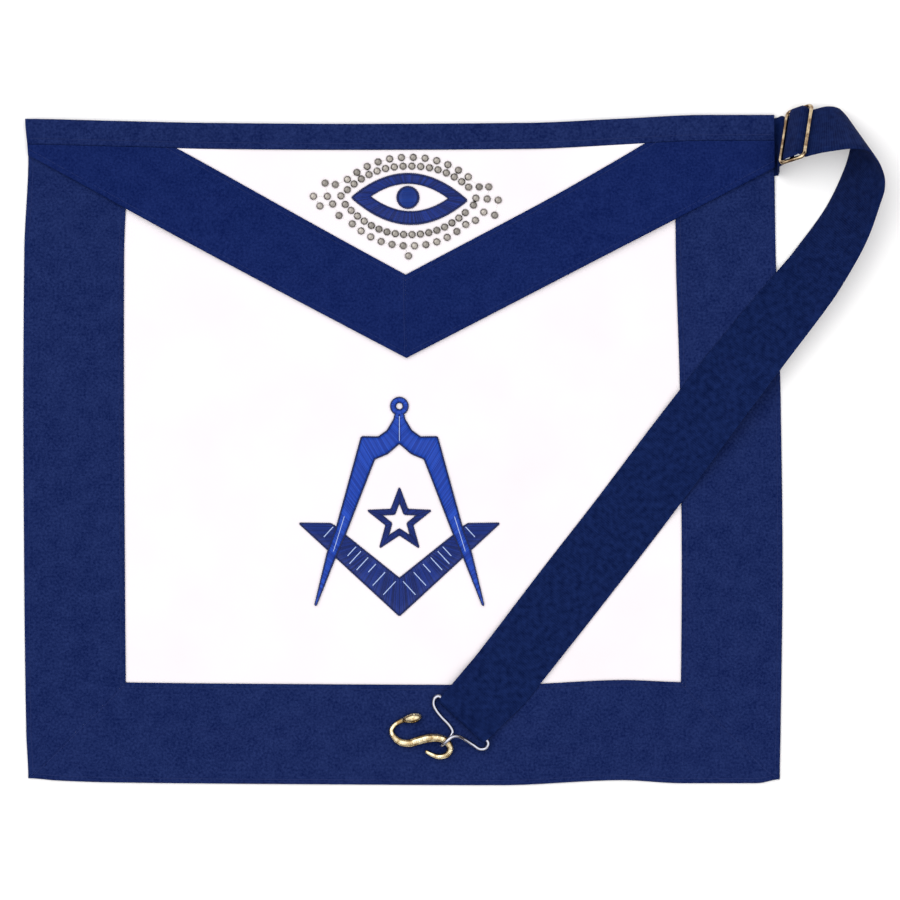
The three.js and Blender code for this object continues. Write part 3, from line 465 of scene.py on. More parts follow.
def tube(route, thickness, around, along, closed=False, relief=None):
    """A round tube along route(share) in metres. `thickness` is its radius, or gives it by share,
    and relief(share, turn) swells or cuts it."""
    lift = Vector((0, 0, 1))
    step = 0.25 / along
    frames = []
    for n in range(along + 1):
        share = n / along
        after = route((share + step) % 1 if closed else min(share + step, 1))
        before = route((share - step) % 1 if closed else max(share - step, 0))
        ahead = (after - before).normalized()
        side = ahead.cross(lift)
        side = side.normalized() if side.length > 1e-6 else Vector((1, 0, 0))
        size = thickness(share) if callable(thickness) else thickness
        frames.append((route(share % 1 if closed else share), side, side.cross(ahead), size))

    def place(u, v):
        middle, side, over, size = frames[round(v * along)]
        turn = 2 * math.pi * u
        if relief:
            size *= relief(v, turn)
        return middle + side * (size * math.cos(turn)) + over * (size * math.sin(turn))

    shell = mapped_grid(around, along, place)
    if not closed:
        close_ends(shell)
    return shell


# Sewing thread in the ribbon's own navy: polyester, two-ply, with a slight gloss.
navy_thread, tree, shader = new_material(
    "navy_sewing_thread", Base_Color=linear("#16265c"), Roughness=0.6, Specular_IOR_Level=0.2
)
emboss(tree, shader, noise_at(tree, object_place(tree), 0.0007, 2.0), 0.3, 0.0001)

STITCH_PITCH = 2.8
STITCH_THREAD = 0.32
STITCH_RISE = 0.14
STITCH_SINK = 0.13
STITCH_SAMPLES = 4


def stitches(line, length):
    """A row of machine stitches along line(share), which gives the cloth's surface in metres."""
    count = max(round(length / STITCH_PITCH), 1)

    def route(share):
        phase = (share * count) % 1.0
        rise = STITCH_RISE * math.sin(math.pi * phase) - STITCH_SINK
        return line(share) + Vector((0, 0, rise * MM))

    return tube(route, STITCH_THREAD / 2 * MM, 5, count * STITCH_SAMPLES)


def side_seam(side, inward):
    def line(share):
        y = mix(-HALF_HEIGHT + inward, WAIST_LINE, share)
        return settle(side * (HALF_WIDTH - inward), y, BORDER_TOP - 0.05)

    return stitches(line, WAIST_LINE + HALF_HEIGHT - inward)


def bottom_seam(inward):
    def line(share):
        end = HALF_WIDTH - inward
        return settle(mix(-end, end, share), -HALF_HEIGHT + inward, BORDER_TOP - 0.05)

    return stitches(line, 2 * (HALF_WIDTH - inward))


def mitre_seam(side, beside):
    """The row of stitches beside the mitre of a lower corner."""

    def line(share):
        inward = mix(2, BORDER_WIDTH - 1.5, share)
        shift = beside / math.sqrt(2)
        x = side * (HALF_WIDTH - inward - shift)
        return settle(x, -HALF_HEIGHT + inward - shift, BORDER_TOP + 0.02)

    return stitches(line, (BORDER_WIDTH - 3.5) * math.sqrt(2))


for side, word in ((-1, "left"), (1, "right")):
    shell = side_border(side, 11 + side)
    border = finish_piece(
        f"border_ribbon_{word}", [shell], navy_ribbon, [f"border_{word}"]
    )
bottom_ribbon = finish_piece(
    "border_ribbon_bottom", [bottom_border()], navy_ribbon, ["border_bottom"]
)
seam_rows = [bottom_seam(SEAM_IN), bottom_seam(BORDER_WIDTH - SEAM_IN)]
for side in (-1, 1):
    seam_rows += [side_seam(side, SEAM_IN), side_seam(side, BORDER_WIDTH - SEAM_IN)]
    seam_rows.append(mitre_seam(side, 0.9))
finish_piece("border_stitching", seam_rows, navy_thread)

# Emblem of compasses and square, with a star
# Padded satin stitch in royal blue rayon thread, worked through the leather over a thin core, with
# a darker cord couched round each outline. The compasses are worked last and lie over the square.
EMBLEM_HEIGHT = 117.4
EMBLEM_MIDDLE = (-1.9, HALF_HEIGHT - 207.3)
EMBLEM_SEAT = LEATHER + CLEARANCE
THREAD_HEIGHT = 0.8
THREAD_PITCH = 0.5
THREAD_RIDGE = 0.16
THREAD_RAGGED = 0.12
CORNER_CUT = 0.7
CORD_TIES = 1.1
CORD_RADIUS = 0.42
PALE_RADIUS = 0.22
MARK_RADIUS = 0.3


# Rayon embroidery thread: bright, smooth strands side by side, each a little lighter or darker
# than the next, with a long highlight where they curve over the core.
def satin_material(name, deep, bright):
    material, tree, shader = new_material(
        name, Roughness=0.42, Specular_IOR_Level=0.22, Sheen_Weight=0.04, Anisotropic=0.5
    )
    coords = add_node(tree, "ShaderNodeTexCoord")
    parts = add_node(tree, "ShaderNodeSeparateXYZ", Vector=coords.outputs["UV"])
    strand = add_node(tree, "ShaderNodeMath", {"operation": "FLOOR"}, _0=parts.outputs["Y"])
    shade = add_node(
        tree, "ShaderNodeTexWhiteNoise", {"noise_dimensions": "1D"}, W=strand.outputs[0]
    )
    blend_colours(tree, shade.outputs["Value"], deep, bright, shader.inputs["Base Color"])
    fibres = noise_at(tree, coords.outputs["Object"], 0.0006, 2.0)
    emboss(tree, shader, fibres, 0.3, 0.00008)
    return material


royal_satin = satin_material("royal_blue_rayon_thread", "#11308c", "#2450bd")
dark_satin = satin_material("deep_blue_rayon_thread", "#0a1b54", "#163184")
sky_satin = satin_material("mid_blue_rayon_thread", "#06266e", "#0e3688")
navy_cord = satin_material("navy_couching_cord", "#0c1745", "#152359")
pale_satin = satin_material("pale_blue_rayon_thread", "#8fa9dc", "#b7c9ec")


def rails(one, other):
    """Reads two facing polylines together: share of the length to the point on each."""
    lengths = [0.0]
    for n in range(1, len(one)):
        first = (Vector(one[n]) - Vector(one[n - 1])).length
        second = (Vector(other[n]) - Vector(other[n - 1])).length
        lengths.append(lengths[-1] + (first + second) / 2)
    total = lengths[-1]

    def read(share):
        far = share * total
        n = 0
        while n < len(lengths) - 2 and lengths[n + 1] < far:
            n += 1
        part = (far - lengths[n]) / max(lengths[n + 1] - lengths[n], 1e-9)
        return (
            Vector(one[n]).lerp(Vector(one[n + 1]), part),
            Vector(other[n]).lerp(Vector(other[n + 1]), part),
        )

    return read, total


def settle_emblem(x, y, z):
    """The emblems were measured where they lie, so they aren't bowed again."""
    return Vector((x, y, z)) * MM


def satin_band(one, other, seat, middle, seed, height=THREAD_HEIGHT, closed=False):
    """Satin stitches side by side between two facing lines, raised over a core."""
    read, total = rails(one, other)
    threads = max(round(total / THREAD_PITCH), 3)
    samples = 4
    across = 9

    def place(u, v):
        a, b = read(v)
        strand = v * threads
        number = math.floor(strand + 1e-6)
        phase = strand - number
        if closed:
            number %= threads
        column = round(u * across) % across
        share = column / (across - 1)
        ragged = THREAD_RAGGED * noise.noise(Vector((number * 0.73, seed, 0.3)))
        spot = a.lerp(b, share)
        if b != a:
            spot = spot + (b - a).normalized() * ragged * (2 * share - 1)
        core = (1 - abs(2 * share - 1) ** 3.2) ** 0.6
        ridge = math.sqrt(max(1 - (2 * phase - 1) ** 2, 0))
        z = seat + core * (height - THREAD_RIDGE) + THREAD_RIDGE * ridge * min(core * 3, 1)
        return settle_emblem(middle[0] + spot.x, middle[1] + spot.y, z)

    band = mapped_grid(across, threads * samples, place, (1, threads))
    if not closed:
        close_ends(band)
    return band


def corner_line(points):
    """The closed line through corners, each corner turned in a few short steps, by share."""
    corners = [Vector(point) for point in points]
    spots = []
    for n, corner in enumerate(corners):
        near = []
        for neighbour in (corners[n - 1], corners[(n + 1) % len(corners)]):
            span = max((corner - neighbour).length, CORNER_CUT)
            near.append(corner.lerp(neighbour, min(CORNER_CUT / span, 0.4)))
        for part in (0, 0.5, 1):
            spots.append(near[0].lerp(corner, part).lerp(corner.lerp(near[1], part), part))
    spots.append(spots[0])
    read, total = rails(spots, spots)
    return (lambda share: read(share)[0]), total


def couched_cord(points, seat, middle, radius=CORD_RADIUS):
    """A cord laid along a closed outline and tied down about every millimetre."""
    line, total = corner_line(points)
    ties = max(round(total / CORD_TIES), 4)

    def route(share):
        spot = line(share)
        return settle_emblem(middle[0] + spot.x, middle[1] + spot.y, seat + radius * 0.75)

    def thickness(share):
        return radius * MM * (1 - 0.16 * math.cos(2 * math.pi * share * ties))

    return tube(route, thickness, 6, ties * 4, closed=True)


def scaled(rows):
    return [(x * EMBLEM_HEIGHT, y * EMBLEM_HEIGHT) for x, y in rows]


def flipped(points):
    return [(-x, y) for x, y in points]


# The right half of each outline, as shares of the emblem's height from its middle
LEG_OUTER = scaled([(0.1735, 0.3195), (0.286, -0.09), (0.329, -0.21), (0.3865, -0.451)])
LEG_INNER = scaled([(0.114, 0.218), (0.247, -0.125), (0.296, -0.238), (0.381, -0.452)])
HEAD_OUTER = scaled(
    [(0.019, 0.425), (0.024, 0.4), (0.055, 0.348), (0.096, 0.318), (0.1735, 0.3195)]
)
HEAD_INNER = scaled([(0.0, 0.425), (0.0, 0.38), (0.0, 0.29), (0.055, 0.2425), (0.114, 0.218)])
ARM_OUTER = scaled([(0.459, -0.0764), (0.4, -0.1306), (0.0, -0.5)])
ARM_INNER = scaled([(0.3135, -0.078), (0.2435, -0.134), (0.0, -0.329)])
ARM_END = scaled([(0.459, -0.0764), (0.3135, -0.078), (0.277, -0.103), (0.2435, -0.134)])
FINIAL_HEIGHT = 0.4597 * EMBLEM_HEIGHT
FINIAL_RADIUS = 0.04 * EMBLEM_HEIGHT
FINIAL_HOLE = 0.0175 * EMBLEM_HEIGHT


def both_halves(outer, inner, seed, height=THREAD_HEIGHT):
    """The satin of the right half of a form and of its mirrored left half."""
    return [
        satin_band(turned(outer), turned(inner), EMBLEM_SEAT, EMBLEM_MIDDLE, seed + number, height)
        for number, turned in enumerate((list, flipped))
    ]


square_bands = both_halves(ARM_OUTER, ARM_INNER, 41)
finish_piece("set_square_satin", square_bands, dark_satin, ["set_square"])
square_outline = ARM_END + [ARM_INNER[2]] + flipped(ARM_END[:0:-1]) + flipped(ARM_OUTER[:1])
square_outline.append(ARM_OUTER[2])
finish_piece(
    "set_square_cord",
    [couched_cord(square_outline, EMBLEM_SEAT, EMBLEM_MIDDLE)],
    navy_cord,
)

# Graduations of the square: short pale stitches across each arm, long and short in turn
GRADUATIONS = [
    {"at": 0.14, "reach": 0.5},
    {"at": 0.41, "reach": 0.45},
    {"at": 0.47, "reach": 0.62},
    {"at": 0.555, "reach": 0.62},
    {"at": 0.645, "reach": 0.4},
    {"at": 0.755, "reach": 0.66},
    {"at": 0.88, "reach": 0.66},
]
ARM_WIDTH = 0.1257 * EMBLEM_HEIGHT
marks = []
for turned in (list, flipped):
    outer_line = [Vector(point) for point in turned(ARM_OUTER)]
    inner_line = [Vector(point) for point in turned(ARM_INNER)]
    ahead = (outer_line[2] - outer_line[0]).normalized()
    beside = Vector((-ahead.y, ahead.x))
    if beside.dot(inner_line[2] - outer_line[2]) < 0:
        beside = -beside
    top = (outer_line[0] + inner_line[0]) / 2
    heel = (outer_line[2] + inner_line[2]) / 2
    for row in GRADUATIONS:
        middle = top.lerp(heel, row["at"])
        near = middle + beside * (0.34 * ARM_WIDTH)
        far = near - beside * (row["reach"] * ARM_WIDTH)

        def route(share, near=near, far=far):
            spot = near.lerp(far, share)
            bow = 0.2 * math.sin(math.pi * share)
            z = EMBLEM_SEAT + THREAD_HEIGHT + bow - 0.15
            return settle_emblem(EMBLEM_MIDDLE[0] + spot.x, EMBLEM_MIDDLE[1] + spot.y, z)

        marks.append(tube(route, MARK_RADIUS * MM, 6, 8))
finish_piece("square_graduations", marks, pale_satin)

COMPASSES_TOP = 2 * THREAD_HEIGHT + CLEARANCE
compass_bands = both_halves(LEG_OUTER, LEG_INNER, 51, COMPASSES_TOP)
compass_bands += both_halves(HEAD_OUTER, HEAD_INNER, 61, COMPASSES_TOP)


def ring_points(radius, middle_y=0.0, count=40):
    spots = []
    for n in range(count):
        turn = 2 * math.pi * n / count
        spots.append((radius * math.cos(turn), middle_y + radius * math.sin(turn)))
    return spots


def ring_band(outer, inner, seat, middle, seed, height):
    return satin_band(
        outer + outer[:1], inner + inner[:1], seat, middle, seed, height, closed=True
    )


finial_outer = ring_points(FINIAL_RADIUS, FINIAL_HEIGHT)
finial_inner = ring_points(FINIAL_HOLE, FINIAL_HEIGHT)
compass_bands.append(
    ring_band(finial_outer, finial_inner, EMBLEM_SEAT, EMBLEM_MIDDLE, 71, COMPASSES_TOP)
)
finish_piece("compasses_satin", compass_bands, royal_satin, ["compasses"])

# Pale stitches down the middle of the compasses' head and along each leg
PALE_LINES = [
    {"from": (0.0, 0.414), "to": (0.0, 0.3)},
    {"from": (0.252, -0.045), "to": (0.302, -0.205)},
    {"from": (-0.252, -0.045), "to": (-0.302, -0.205)},
]
pale_rows = []
for row in PALE_LINES:

    def route(share, row=row):
        x = mix(row["from"][0], row["to"][0], share) * EMBLEM_HEIGHT
        y = mix(row["from"][1], row["to"][1], share) * EMBLEM_HEIGHT
        z = EMBLEM_SEAT + COMPASSES_TOP - 0.1
        return settle_emblem(EMBLEM_MIDDLE[0] + x, EMBLEM_MIDDLE[1] + y, z)

    pale_rows.append(tube(route, PALE_RADIUS * MM, 6, 24))
finish_piece("compasses_pale_lines", pale_rows, pale_satin)
compass_outline = HEAD_OUTER[:-1] + LEG_OUTER + LEG_INNER[::-1] + HEAD_INNER[3:2:-1]
compass_outline += [HEAD_INNER[2]] + flipped(HEAD_INNER[3:4]) + flipped(LEG_INNER)
compass_outline += flipped(LEG_OUTER[::-1]) + flipped(HEAD_OUTER[-2::-1])
CORD_ON_COMPASSES = EMBLEM_SEAT + THREAD_HEIGHT * 0.6
compass_cords = [
    couched_cord(outline, CORD_ON_COMPASSES, EMBLEM_MIDDLE, radius)
    for outline, radius in (
        (compass_outline, CORD_RADIUS),
        (ring_points(FINIAL_RADIUS, FINIAL_HEIGHT, 20), CORD_RADIUS),
        (ring_points(FINIAL_HOLE, FINIAL_HEIGHT, 14), 0.35),
    )
]
finish_piece("compasses_cord", compass_cords, navy_cord)

STAR_RADIUS = 18
STAR_STROKE = 4.6
STAR_MIDDLE = (EMBLEM_MIDDLE[0], EMBLEM_MIDDLE[1] - EMBLEM_HEIGHT * 0.065)


def star_points(radius):
    spots = []
    for n in range(10):
        turn = math.pi / 2 + n * math.pi / 5
        far = radius if n % 2 == 0 else radius * 0.42
        spots.append((far * math.cos(turn), far * math.sin(turn)))
    return spots


star_outer = star_points(STAR_RADIUS)
star_inner = star_points(STAR_RADIUS - STAR_STROKE * 1.7)
finish_piece(
    "star_satin",
    [ring_band(star_outer, star_inner, EMBLEM_SEAT, STAR_MIDDLE, 81, THREAD_HEIGHT)],
    dark_satin,
    ["star"],
)
finish_piece(
    "star_cord",
    [couched_cord(points, EMBLEM_SEAT, STAR_MIDDLE, 0.38) for points in (star_outer, star_inner)],
    navy_cord,
)

# Flap
# A second piece of lambskin that hangs from the waistband and ends in a point, with its own ribbon
# about 40 mm wide along the V, mitred at the point. It rides over the side borders.
FLAP_DROP = 127.5
FLAP_SHOULDERS = {-1: HALF_HEIGHT - 18.7, 1: HALF_HEIGHT - 25.4}
FLAP_TIP = (2.7, HALF_HEIGHT - FLAP_DROP)
FLAP_BORDER_WIDTH = 40.3
FLAP_BORDER_TAPER = 3
WIDENING = FLAP_BORDER_TAPER / (FLAP_BORDER_WIDTH * HALF_WIDTH)
FLAP_DRAPE_RUN = 60
FLAP_ACROSS = 120
FLAP_ALONG = 40
FLAP_SEAT = LEATHER + CLEARANCE
FLAP_RISE = RIBBON + CLEARANCE


def flap_rise(x):
    inside = HALF_WIDTH - BORDER_WIDTH - FLAP_DRAPE_RUN / 4
    return FLAP_RISE * smooth_step(abs(x), inside - FLAP_DRAPE_RUN, inside)


def flap_slope(side):
    return (FLAP_SHOULDERS[side] - FLAP_TIP[1]) / (HALF_WIDTH - side * FLAP_TIP[0])


def flap_edge(side, x, inward):
    """The height on the flap's slanting edge, moved inwards; its ribbon widens to the shoulders."""
    slope = flap_slope(side)
    far = side * (x - FLAP_TIP[0])
    return FLAP_TIP[1] + slope * far + inward * math.hypot(1, slope) * (1 + WIDENING * far)


def flap_start(side, inward):
    """Where a line at a distance from the slanting edge ends at the side or at the waistband."""
    slope = flap_slope(side)
    slant = math.hypot(1, slope)
    reach = (WAIST_LINE - FLAP_TIP[1] - inward * slant) / (slope + inward * slant * WIDENING)
    return side * min(HALF_WIDTH, side * FLAP_TIP[0] + reach)


def flap_corner(side):
    slant = math.hypot(1, flap_slope(side))
    far = HALF_WIDTH - side * FLAP_TIP[0]
    return (WAIST_LINE - FLAP_SHOULDERS[side]) / (slant * (1 + WIDENING * far))


def settle_flap(x, y, z):
    """The flap's slanting edges stay straight: the bow of the top edge fades out down the flap."""
    low = flap_edge(-1 if x < FLAP_TIP[0] else 1, x, 0)
    share = min(max((y - low) / (WAIST_LINE - low), 0), 1)
    settled = settle(x, y, z)
    settled.y = mix(y * MM, settled.y, share)
    return settled


def flap_sheet():
    reach = HALF_WIDTH - EDGE_COVER

    def place(u, v):
        side = -1 if u < 0.5 else 1
        x = mix(FLAP_TIP[0], side * reach, abs(2 * u - 1))
        low = flap_edge(side, x, EDGE_COVER)
        y = mix(low, WAIST_LINE, v)
        swell = 0.05 * ripple(x, y, 30, 3.0)
        return settle_flap(x, y, FLAP_SEAT + flap_rise(x) + LEATHER - TOP_LAP + swell)

    return mapped_grid(FLAP_ACROSS, FLAP_ALONG, place, (0.4, 0.12))


flap_shell = flap_sheet()
thicken(flap_shell, LEATHER - 3 * TOP_LAP)
flap_leather = finish_piece(
    "flap_leather", [flap_shell], white_lambskin, ["flap_panel"]
)

flap_ribbon = ribbon_material("bright_navy_grosgrain", "#011246", "#15265d")


def flap_border(side, seed):
    slant = math.hypot(1, flap_slope(side))
    seat = LEATHER + CLEARANCE
    section = ribbon_loop(FLAP_BORDER_WIDTH, seat, seat + RIBBON, flap_corner(side))

    def place_on(inward, height, share):
        x = mix(flap_start(side, inward), FLAP_TIP[0] + side * MITRE_JOIN, share)
        z = dressed(inward, height, x * slant, FLAP_BORDER_WIDTH, seat + RIBBON, seed)
        return settle_flap(x, flap_edge(side, x, inward), FLAP_SEAT + flap_rise(x) + z)

    return ribbon_strip(section, 150, place_on, HALF_WIDTH * slant)


def flap_seam(side, inward):
    def line(share):
        x = mix(flap_start(side, inward), FLAP_TIP[0], share)
        top = FLAP_SEAT + flap_rise(x) + LEATHER + CLEARANCE + RIBBON - 0.05
        return settle_flap(x, flap_edge(side, x, inward), top)

    return stitches(line, abs(HALF_WIDTH - inward) * math.hypot(1, flap_slope(side)))


def tip_seam():
    def line(share):
        y = mix(FLAP_TIP[1] + 1.5, FLAP_TIP[1] + FLAP_BORDER_WIDTH * 1.1, share)
        return settle_flap(FLAP_TIP[0] - 0.9, y, FLAP_SEAT + LEATHER + CLEARANCE + RIBBON + 0.02)

    return stitches(line, FLAP_BORDER_WIDTH)


for side, word in ((-1, "left"), (1, "right")):
    shell = flap_border(side, 21 + side)
    ribbon = finish_piece(
        f"flap_ribbon_{word}", [shell], flap_ribbon, [f"flap_border_{word}"]
    )
flap_rows = [tip_seam()]
for side in (-1, 1):
    flap_rows += [flap_seam(side, SEAM_IN), flap_seam(side, FLAP_BORDER_WIDTH - SEAM_IN)]
finish_piece("flap_stitching", flap_rows, navy_thread)

# Eye
# An almond ring of satin stitch round bare white leather, with a round iris in mid-blue thread.
# Navy cord is couched along both sides of the almond and round the iris.
EYE_LENGTH = 61.8
EYE_HEIGHT = 26.9
EYE_WHITE_LENGTH = 42.5
EYE_WHITE_HEIGHT = 15.4
IRIS_DIAMETER = 12.6
EYE_WHITE_RISE = 0.8
EYE_TILT = 0.025
IRIS_SHIFT = -0.8
IRIS_CORD = 0.6
EYE_MIDDLE = (FLAP_TIP[0] + 0.8, HALF_HEIGHT - 42)
EYE_SEAT = FLAP_SEAT + LEATHER + CLEARANCE


def almond_points(length, height, rise=0, steps=28):
    """The two arcs of an almond, from its left corner along the lower arc and back above."""
    spots = []
    for sign in (-1, 1):
        for n in range(steps):
            part = n / steps
            x = (2 * part - 1) * length / 2
            y = 2 * part * (1 - part) * height
            spots.append((-sign * x, rise + sign * y + sign * x * EYE_TILT))
    return spots


eye_outer = almond_points(EYE_LENGTH, EYE_HEIGHT)
eye_inner = almond_points(EYE_WHITE_LENGTH, EYE_WHITE_HEIGHT, EYE_WHITE_RISE)
finish_piece(
    "eye_satin",
    [ring_band(eye_outer, eye_inner, EYE_SEAT, EYE_MIDDLE, 91, THREAD_HEIGHT)],
    dark_satin,
    ["eye_outline"],
)
iris_radius = IRIS_DIAMETER / 2 - IRIS_CORD
iris_middle = (EYE_MIDDLE[0] + IRIS_SHIFT, EYE_MIDDLE[1])
iris = ring_points(iris_radius, EYE_WHITE_RISE, 32)
half = len(iris) // 2
iris_right = [iris[(n - half // 2) % len(iris)] for n in range(half + 1)]
iris_left = flipped(iris_right)
finish_piece(
    "iris_satin",
    [satin_band(iris_left, iris_right, EYE_SEAT, iris_middle, 95, THREAD_HEIGHT)],
    sky_satin,
    ["eye_iris"],
)
finish_piece(
    "eye_cord",
    [
        couched_cord(eye_outer, EYE_SEAT, EYE_MIDDLE, 0.55),
        couched_cord(eye_inner, EYE_SEAT, EYE_MIDDLE, 0.4),
        couched_cord(iris[::2], EYE_SEAT, iris_middle, IRIS_CORD),
    ],
    navy_cord,
)

# Stones
# Flat-backed cut glass stones, foiled behind, set in two rows round the eye. Each has a flat table
# and slanted facets, and the thread that runs from stone to stone holds them to the leather.
STONE_DIAMETER = 4.3
STONE_HEIGHT = 1.7
STONE_THREAD = 0.7
TABLE_SHARE = 0.36

ARCH_COLUMNS = ("height", "half", "power", "start", "end", "count")
STONE_ARCHES = {
    "inner_upper": (0.285, 0.62, 2.4, -0.96, 0.83, 17),
    "inner_lower": (-0.31, 0.6, 2.3, 0.81, -0.93, 17),
    "outer_upper": (0.362, 0.71, 2.3, -0.76, 0.72, 12),
    "outer_lower": (-0.408, 0.69, 2.3, 0.71, -0.72, 12),
}
RIGHT_STONES = [
    (0.607, 0.105),
    (0.69, 0.105),
    (0.676, 0.0),
    (0.772, -0.01),
    (0.741, -0.141),
    (0.647, -0.115),
    (0.574, -0.186),
]
INNER_RIGHT_STONES = [
    (0.578, 0.007),
    (0.557, -0.054),
]
LEFT_STONES = [
    (-0.612, -0.144),
    (-0.667, -0.044),
    (-0.778, -0.061),
    (-0.835, 0.023),
    (-0.714, 0.023),
    (-0.733, 0.138),
    (-0.644, 0.125),
]
LOWEST_STONE = (-0.008, -0.495)

# Foiled crystal: clear glass over a mirror foil. Its colour is a painted reflection of the room:
# each facet gets its own random tone between smoky brown and silver, and the flat tables are
# painted lighter on the whole.
foiled_crystal, tree, shader = new_material(
    "foiled_cut_glass", Metallic=0.75, Roughness=0.07, Coat_Weight=0.6, Coat_Roughness=0.02
)
painted_reflection = add_node(tree, "ShaderNodeAttribute", {"attribute_name": "painted_facet_reflection"})
blend_colours(tree, painted_reflection.outputs["Fac"], "#1f1a16", "#918b84", shader.inputs["Base Color"])

# Thin white polyester thread, which all but vanishes on the leather.
white_thread, tree, shader = new_material(
    "white_setting_thread", Base_Color=linear("#f1edee"), Roughness=0.6
)
emboss(tree, shader, noise_at(tree, object_place(tree), 0.0006, 2.0), 0.2, 0.00005)


def arch_stones(arch):
    row = dict(zip(ARCH_COLUMNS, STONE_ARCHES[arch]))
    line = []
    for n in range(201):
        share = mix(row["start"], row["end"], n / 200)
        y = row["height"] * (1 - abs(share) ** row["power"])
        line.append((share * row["half"] * EYE_LENGTH, y * EYE_LENGTH))
    read, _ = rails(line, line)
    return [read(n / (row["count"] - 1))[0] for n in range(row["count"])]


def charted(rows):
    return [Vector((x * EYE_LENGTH, y * EYE_LENGTH)) for x, y in rows]


def cut_stone():
    """One stone, its flat back at 0: a low dome of facets cut off flat by its table."""
    stone = bmesh.new()
    bmesh.ops.create_uvsphere(stone, u_segments=8, v_segments=8, radius=STONE_DIAMETER / 2)
    for height, normal in ((0, -1), (STONE_DIAMETER * TABLE_SHARE, 1)):
        geometry = stone.verts[:] + stone.edges[:] + stone.faces[:]
        bmesh.ops.bisect_plane(
            stone, geom=geometry, plane_co=(0, 0, height), plane_no=(0, 0, normal), clear_outer=True
        )
        close_ends(stone)
    flatter = STONE_HEIGHT / (STONE_DIAMETER * TABLE_SHARE)
    bmesh.ops.scale(stone, vec=(1, 1, flatter), verts=stone.verts)
    bmesh.ops.recalc_face_normals(stone, faces=stone.faces)
    mesh = bpy.data.meshes.new("stone")
    stone.to_mesh(mesh)
    stone.free()
    return mesh


stone_pattern = cut_stone()


def stone_field(name, stones, links, node, seed):
    """The stones and the thread between them as one body."""
    field = bmesh.new()
    middle = Vector((EYE_MIDDLE[0], EYE_MIDDLE[1], EYE_SEAT - 0.25))
    for number, spot in enumerate(stones):
        before = len(field.verts)
        field.from_mesh(stone_pattern)
        field.verts.ensure_lookup_table()
        own = field.verts[before:]
        turn = noise.noise(Vector((number * 1.7, seed, 0.5))) * math.pi
        lean = Matrix.Rotation(0.06 * math.sin(number * 2.4), 4, "X")
        seat = Matrix.Translation(middle + Vector((spot.x, spot.y, 0)))
        matrix = seat @ Matrix.Rotation(turn, 4, "Z") @ lean
        bmesh.ops.transform(field, matrix=Matrix.Scale(MM, 4) @ matrix, verts=own)
    stone_faces = len(field.faces)
    for one, other in links:
        start = middle + Vector((one.x, one.y, 0.1))
        end = middle + Vector((other.x, other.y, 0.1))

        def route(share, start=start, end=end):
            return start.lerp(end, share) * MM

        thread = tube(route, STONE_THREAD * 0.3 * MM, 6, 2)
        mesh = bpy.data.meshes.new("thread")
        thread.to_mesh(mesh)
        thread.free()
        field.from_mesh(mesh)
        bpy.data.meshes.remove(mesh)
    piece = finish_piece(name, [field], foiled_crystal, [node], smooth=False)
    piece.data.materials.append(white_thread)
    # Painted reflection: a random tone per facet stands in for the room seen in the foil, and the
    # flat tables are painted lighter.
    tone = piece.data.attributes.new("painted_facet_reflection", "FLOAT", "FACE")
    for face in piece.data.polygons:
        face.material_index = 0 if face.index < stone_faces else 1
        spot = face.center * 1900
        value = 0.5 + 0.9 * noise.noise(spot)
        if face.normal.z > 0.97:
            value = 0.62 + 0.5 * noise.noise(spot * 0.31)
        tone.data[face.index].value = min(max(value, 0), 1)


inner_stones = (
    arch_stones("inner_upper")
    + charted(INNER_RIGHT_STONES)
    + arch_stones("inner_lower")
)
outer_stones = (
    arch_stones("outer_upper")
    + charted(RIGHT_STONES)
    + arch_stones("outer_lower")
    + charted(LEFT_STONES)
)


def round_links(stones):
    return [(stone, stones[(n + 1) % len(stones)]) for n, stone in enumerate(stones)]


lowest = charted([LOWEST_STONE])[0]
nearest = min(outer_stones, key=lambda stone: (stone - lowest).length)
stone_field("inner_stones", inner_stones, round_links(inner_stones), "stones_inner_row", 3.1)
stone_field(
    "outer_stones",
    outer_stones + [lowest],
    round_links(outer_stones) + [(nearest, lowest)],
    "stones_outer_row",
    7.3,
)
bpy.data.meshes.remove(stone_pattern)

# Waistband
# The same navy ribbon folded in layers over the top edge of leather and flap, sewn down along its
# lower edge. The flap hangs from it and the strap's end is caught under its right end.
WAISTBAND_THICKNESS = 2.8
WAISTBAND_TOP = BORDER_SEAT + WAISTBAND_THICKNESS
WAISTBAND_LAP = 0.5


def waistband_loop():
    roll = 0.9
    depth = WAISTBAND_DEPTH + WAISTBAND_LAP
    loop = [(0.0, 0.0), (0.0, 1.7)]
    for step in range(6):
        turn = math.radians(90 * step / 5)
        loop.append((roll - roll * math.cos(turn), WAISTBAND_TOP - roll + roll * math.sin(turn)))
    for step in range(1, 9):
        loop.append((mix(roll, depth - roll, step / 9), WAISTBAND_TOP))
    for step in range(6):
        turn = math.radians(90 * (1 - step / 5))
        inward = depth - roll + roll * math.cos(turn)
        loop.append((inward, WAISTBAND_TOP - roll + roll * math.sin(turn)))
    loop += [(depth, BORDER_SEAT), (8.0, BORDER_SEAT), (RIBBON, BORDER_SEAT), (RIBBON, 0.0)]
    return loop


def waistband_strip():
    def place_on(inward, height, share):
        x = mix(-HALF_WIDTH, HALF_WIDTH, share)
        z = height
        if height > WAISTBAND_TOP - 0.5 and inward > 0.3:
            z += -0.18 * math.exp(-(((inward - WAISTBAND_DEPTH + 3) / 0.8) ** 2))
            z += 0.12 * ripple(inward * 0.4, x, 6, 17) + 0.1 * ripple(inward, x, 30, 19)
        return settle(x, HALF_HEIGHT - inward, z)

    return ribbon_strip(waistband_loop(), 240, place_on, APRON_WIDTH)


def waist_seam():
    def line(share):
        x = mix(-HALF_WIDTH + 2, HALF_WIDTH - 2, share)
        return settle(x, HALF_HEIGHT - WAISTBAND_DEPTH + 3, WAISTBAND_TOP - 0.05)

    return stitches(line, APRON_WIDTH - 4)


